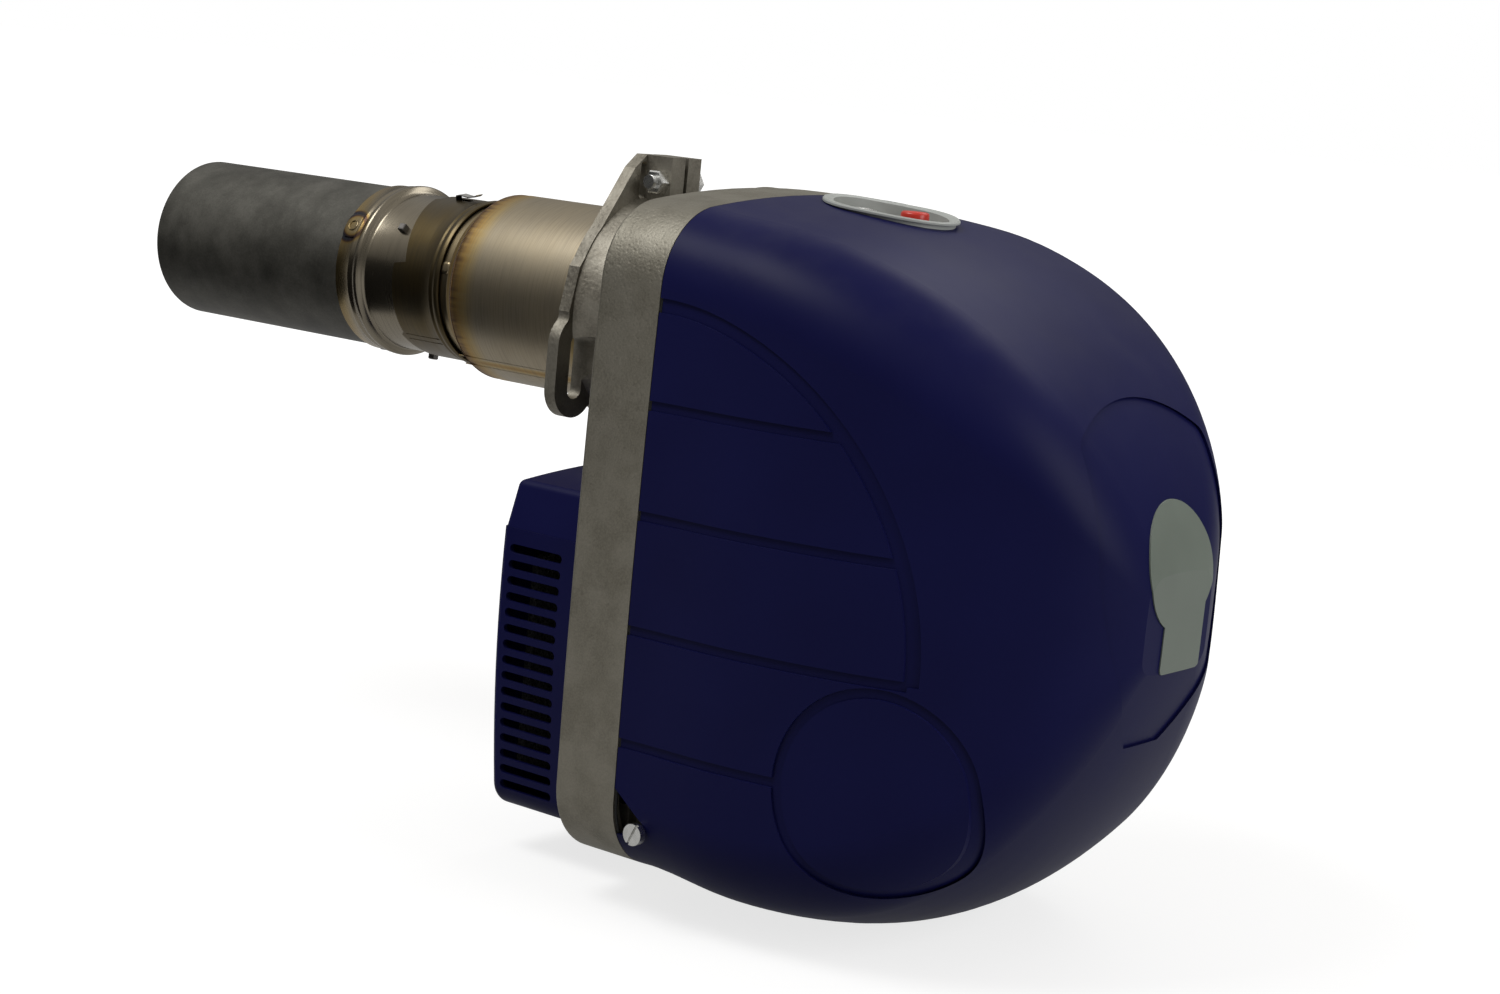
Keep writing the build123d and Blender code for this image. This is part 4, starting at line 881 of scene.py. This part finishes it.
# %% [markdown]
# ## Spot-welded tabs, pegs and catch
# Three pressed tabs are spot-welded over the collar's edge. Each is a thin rounded pad that follows the curve,
# with a ring pressed into it. Three square pegs stand in the neck for the sleeve's cams to turn against, and a
# bent spring catch rises through the sleeve's slot on top.

# %% Pads and rings on the collar
def curved_pad(name, x, turn, size, radius, height, material, body):
    """A rounded pad wrapped on a cylinder. size is (along x, round the tube), in mm."""
    shape = bmesh.new()
    rows = []
    for share, lift in ((1.0, 0.0), (1.0, height * 0.6), (0.93, height), (0.5, height), (0.0, height)):
        row = []
        for k in range(40):
            a = math.tau * k / 40
            corner = (abs(math.cos(a)) ** 4 + abs(math.sin(a)) ** 4) ** -0.25
            u, v = (share * corner * f(a) * s / 2 for f, s in ((math.cos, size[0]), (math.sin, size[1])))
            row.append(shape.verts.new(around(x + u, radius + lift, turn + math.degrees(v / radius))))
        rows.append(row)
    for low, high in zip(rows, rows[1:]):
        for k in range(40):
            shape.faces.new((low[k], low[(k + 1) % 40], high[(k + 1) % 40], high[k]))
    bmesh.ops.remove_doubles(shape, verts=shape.verts, dist=1e-6)
    rim = [e for e in shape.edges if len(e.link_faces) == 1]
    bmesh.ops.contextual_create(shape, geom=rim)
    bmesh.ops.recalc_face_normals(shape, faces=shape.faces)
    mesh = bpy.data.meshes.new(name)
    shape.to_mesh(mesh)
    shape.free()
    return settle(name, mesh, material, body)


SPOT_RING_R = 3.3
SPOT_RING_LIFT = 0.45
SPOT_RING_CORD = 0.55
for k, turn in enumerate(SPOT_TURNS):
    pad = curved_pad(f"spot_tab_{k}", SPOT_X, turn, (13, 17), COLLAR_R - 0.1, 0.5, COLLAR, "burner")
    if k == 0:
        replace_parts(pad, "collar_rivets")
    ring = [around(SPOT_X + SPOT_RING_R * math.cos(a), COLLAR_R + SPOT_RING_LIFT,
                   turn + math.degrees(SPOT_RING_R * math.sin(a) / COLLAR_R))
            for a in (math.tau * n / 16 for n in range(16))]
    settle(f"spot_ring_{k}", cord_mesh(f"spot_ring_{k}", ring, SPOT_RING_CORD * MM, closed=True), COLLAR, "burner")


# %% Pegs and catch
def square_peg(name, x, turn, side, low, high, material, body):
    """A square peg with bevelled top, standing out from the tube. Sizes in mm."""
    shape = bmesh.new()
    rows = []
    for half, height in ((side / 2, low), (side / 2, high - 0.5), (side / 2 - 0.5, high)):
        rows.append([shape.verts.new((u * half * MM, v * half * MM, height * MM))
                     for u, v in ((-1, -1), (1, -1), (1, 1), (-1, 1))])
    for lower, upper in zip(rows, rows[1:]):
        for k in range(4):
            shape.faces.new((lower[k], lower[(k + 1) % 4], upper[(k + 1) % 4], upper[k]))
    shape.faces.new(list(reversed(rows[0])))
    shape.faces.new(rows[-1])
    bmesh.ops.recalc_face_normals(shape, faces=shape.faces)
    bmesh.ops.bevel(shape, geom=[e for e in shape.edges], offset=0.2 * MM, segments=2, affect="EDGES")
    mesh = bpy.data.meshes.new(name)
    shape.to_mesh(mesh)
    shape.free()
    place = Matrix.Translation((x * MM, 0, 0)) @ Matrix.Rotation(math.radians(90 - turn), 4, "X")
    return settle(name, mesh, material, body, smooth=False, move=place)


for k in range(3):
    peg = square_peg(f"cam_peg_{k}", -158.2, 36 + 120 * k, 4.6, NECK_R - 0.4, 53.2, DARK_STEEL, "burner")
    if k == 0:
        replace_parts(peg, "sleeve_screws")

for k in range(3):
    curved_pad(f"stop_block_{k}", -112.4, 12.5 + 120 * k, (6.2, 7.6), NECK_R - 0.1, 1.5, RING, "burner")

catch_route = [(-144.5, 49.6), (-144.5, 52.6), (-141.0, 53.4), (-134.5, 52.6), (-128.5, 53.6), (-127.0, 54.6)]
shape = bmesh.new()
strips = []
for x, radius in catch_route:
    strips.append([shape.verts.new(around(x, radius + lift, 81 + lean)) for lean, lift in
                   ((-3.0, 0), (3.0, 0), (3.0, 0.7), (-3.0, 0.7))])
for low, high in zip(strips, strips[1:]):
    for k in range(4):
        shape.faces.new((low[k], low[(k + 1) % 4], high[(k + 1) % 4], high[k]))
shape.faces.new(list(reversed(strips[0])))
shape.faces.new(strips[-1])
bmesh.ops.recalc_face_normals(shape, faces=shape.faces)
catch_mesh = bpy.data.meshes.new("spring_catch")
shape.to_mesh(catch_mesh)
shape.free()
settle("spring_catch", catch_mesh, ZINC, "sleeve", smooth=False)


# %% Cross-recessed heads
def cross_head(radius, height):
    """One domed head with a cross-shaped recess, its underside at z = 0."""
    shape = bmesh.new()
    rings = [(radius, 0), (radius, height * 0.45), (radius * 0.86, height * 0.8), (radius * 0.6, height)]
    rows = []
    count = 24
    for r, z in rings:
        rows.append([shape.verts.new((r * math.cos(a), r * math.sin(a), z))
                     for a in (math.tau * k / count for k in range(count))])
    for low, high in zip(rows, rows[1:]):
        for k in range(count):
            shape.faces.new((low[k], low[(k + 1) % count], high[(k + 1) % count], high[k]))
    inner = []
    for k in range(count):
        a = math.tau * k / count
        arm = max(abs(math.cos(a)), abs(math.sin(a))) > 0.93
        r = radius * (0.52 if arm else 0.2)
        inner.append(shape.verts.new((r * math.cos(a), r * math.sin(a), height)))
    sunk = [shape.verts.new((v.co.x * 0.8, v.co.y * 0.8, height * 0.35)) for v in inner]
    for k in range(count):
        n = (k + 1) % count
        shape.faces.new((rows[-1][k], rows[-1][n], inner[n], inner[k]))
        shape.faces.new((inner[k], inner[n], sunk[n], sunk[k]))
    shape.faces.new(sunk)
    shape.faces.new(list(reversed(rows[0])))
    bmesh.ops.recalc_face_normals(shape, faces=shape.faces)
    mesh = bpy.data.meshes.new("head")
    shape.to_mesh(mesh)
    shape.free()
    return mesh


def heads(name, places, direction, radius, height, body, material):
    """The same head at several places, all facing one way, joined into one mesh."""
    joined = bmesh.new()
    face = Vector((0, 0, 1)).rotation_difference(Vector(direction)).to_matrix().to_4x4()
    for k, place in enumerate(places):
        single = cross_head(radius, height)
        single.transform(Matrix.Translation(place) @ face @ Matrix.Rotation(0.5 * k, 4, "Z"))
        joined.from_mesh(single)
        bpy.data.meshes.remove(single)
    mesh = bpy.data.meshes.new(name)
    joined.to_mesh(mesh)
    joined.free()
    return settle(name, mesh, material, body, smooth=False)


cover_low, cover_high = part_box("intake_cover")
corner_y = cover_high.y - 24 * MM
heads("intake_heads",
      [(cover_low.x - 0.1 * MM, side * corner_y, z)
       for side in (-1, 1) for z in (cover_low.z + 26 * MM, cover_high.z - 14 * MM)],
      (-1, 0, 0), 4.2 * MM, 2.4 * MM, "burner", ZINC)

# %% [markdown]
# ## The seal under the hood
# A thin rubber cord lies in the joint between the hood and the casting. Its path is the joint's own outline:
# the rim points of the casting, ordered by angle round their middle.

# %% Rubber seal
def rim_points(name, x, inset):
    """The outermost points of a node near x, ordered round the rim and moved inwards."""
    points = [v.co.copy() for v in nodes[name].data.vertices if abs(v.co.x - x) < 0.6 * MM]
    centre = Vector((x, 0, sum(p.z for p in points) / len(points)))
    sectors = {}
    for p in points:
        offset = p - centre
        key = round(math.degrees(math.atan2(offset.z, offset.y)) / 2)
        if key not in sectors or offset.length > (sectors[key] - centre).length:
            sectors[key] = p
    rim = [sectors[key] for key in sorted(sectors)]
    furthest = max((p - centre).length for p in rim)
    rim = [p for p in rim if (p - centre).length > 0.5 * furthest]
    return [p + (centre - p).normalized() * inset for p in rim]


joint_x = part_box("hood")[0].x - 0.25 * MM
seal = rim_points("fan_housing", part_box("hood")[0].x - 0.5 * MM, 2.2 * MM)
settle("hood_seal", cord_mesh("hood_seal", [Vector((joint_x, p.y, p.z)) for p in seal], 0.9 * MM, closed=True),
       RUBBER, "burner")

# %% [markdown]
# ## The window's bezel
# The hood curves away under its round window. The bezel is a flat ring that leans a little with the hood, and
# a narrower skirt under it goes down to the moulding, which is meant to leave a shadow below its front edge. Rays
# dropped on the hood all round the window give the height that the skirt has to reach.

# %% Window bezel
BEZEL_R, BEZEL_HOLE_R, SKIRT_R = 38.8, 32.6, 36.6
BEZEL_LEAN = 0.7
bezel_x = (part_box("window_ring")[0].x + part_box("window_ring")[1].x) / 2 / MM
surface = BVHTree.FromPolygons([v.co.copy() for v in nodes["hood"].data.vertices],
                               [tuple(p.vertices) for p in nodes["hood"].data.polygons])
angles = [math.tau * k / 120 for k in range(120)]
heights = [surface.ray_cast(Vector(((bezel_x + BEZEL_R * math.cos(a)) * MM, BEZEL_R * math.sin(a) * MM, 0.3)),
                            Vector((0, 0, -1)))[0].z / MM for a in angles]
shape = bmesh.new()
rows = []
for a, height in zip(angles, heights):
    level = max(heights) + (height - max(heights)) * BEZEL_LEAN
    profile = [(SKIRT_R, height - 2.0), (SKIRT_R, level - 0.6), (BEZEL_R, level - 0.4), (BEZEL_R, level + 0.6),
               (BEZEL_R - 0.8, level + 1.4), (BEZEL_R - 4.0, level + 1.2), (BEZEL_HOLE_R, level + 0.2),
               (BEZEL_HOLE_R, height - 6.0), (BEZEL_HOLE_R + 1.4, height - 6.0), (BEZEL_HOLE_R + 1.4, height - 2.0)]
    rows.append([shape.verts.new(((bezel_x + r * math.cos(a)) * MM, r * math.sin(a) * MM, z * MM)) for r, z in profile])
for k, row in enumerate(rows):
    ahead = rows[(k + 1) % len(rows)]
    for n in range(len(row)):
        m = (n + 1) % len(row)
        shape.faces.new((row[n], row[m], ahead[m], ahead[n]))
bmesh.ops.recalc_face_normals(shape, faces=shape.faces)
for edge in shape.edges:
    edge.smooth = edge.calc_face_angle(0) < math.radians(35)
bezel_mesh = bpy.data.meshes.new("window_bezel")
shape.to_mesh(bezel_mesh)
shape.free()
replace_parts(settle("window_bezel", bezel_mesh, GREY, "hood"), "window_ring")
print("the hood's height round the window:", round(min(heights), 1), "to", round(max(heights), 1), "mm")

# %% [markdown]
# ## The reset button's cap
# The red button reaches up to the window's rim, so that a finger can find it. Its cap is a turned shape: a
# rounded edge and a shallow dish on top.

# %% Button cap
CAP_RISE = 8.5
button_low, button_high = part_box("reset_button")
cap_r = (button_high.x - button_low.x) / 2 / MM
top = button_high.z / MM + CAP_RISE
outline = [(cap_r - 0.2, button_high.z / MM - 3.0), (cap_r, top - 1.6), (cap_r - 0.4, top - 0.5), (cap_r - 1.4, top),
           (cap_r - 2.4, top - 0.1), (cap_r - 3.6, top - 0.8), (0.3, top - 1.2)]
shape = bmesh.new()
rows = [[shape.verts.new((r * MM * math.cos(math.tau * k / 48), r * MM * math.sin(math.tau * k / 48), z * MM))
         for k in range(48)] for r, z in outline]
for low, high in zip(rows, rows[1:]):
    for k in range(48):
        shape.faces.new((low[k], low[(k + 1) % 48], high[(k + 1) % 48], high[k]))
shape.faces.new(rows[-1])
shape.faces.new(list(reversed(rows[0])))
cap_mesh = bpy.data.meshes.new("reset_cap")
shape.to_mesh(cap_mesh)
shape.free()
settle("reset_cap", cap_mesh, RED, "reset",
       move=Matrix.Translation(((button_low.x + button_high.x) / 2, (button_low.y + button_high.y) / 2, 0)))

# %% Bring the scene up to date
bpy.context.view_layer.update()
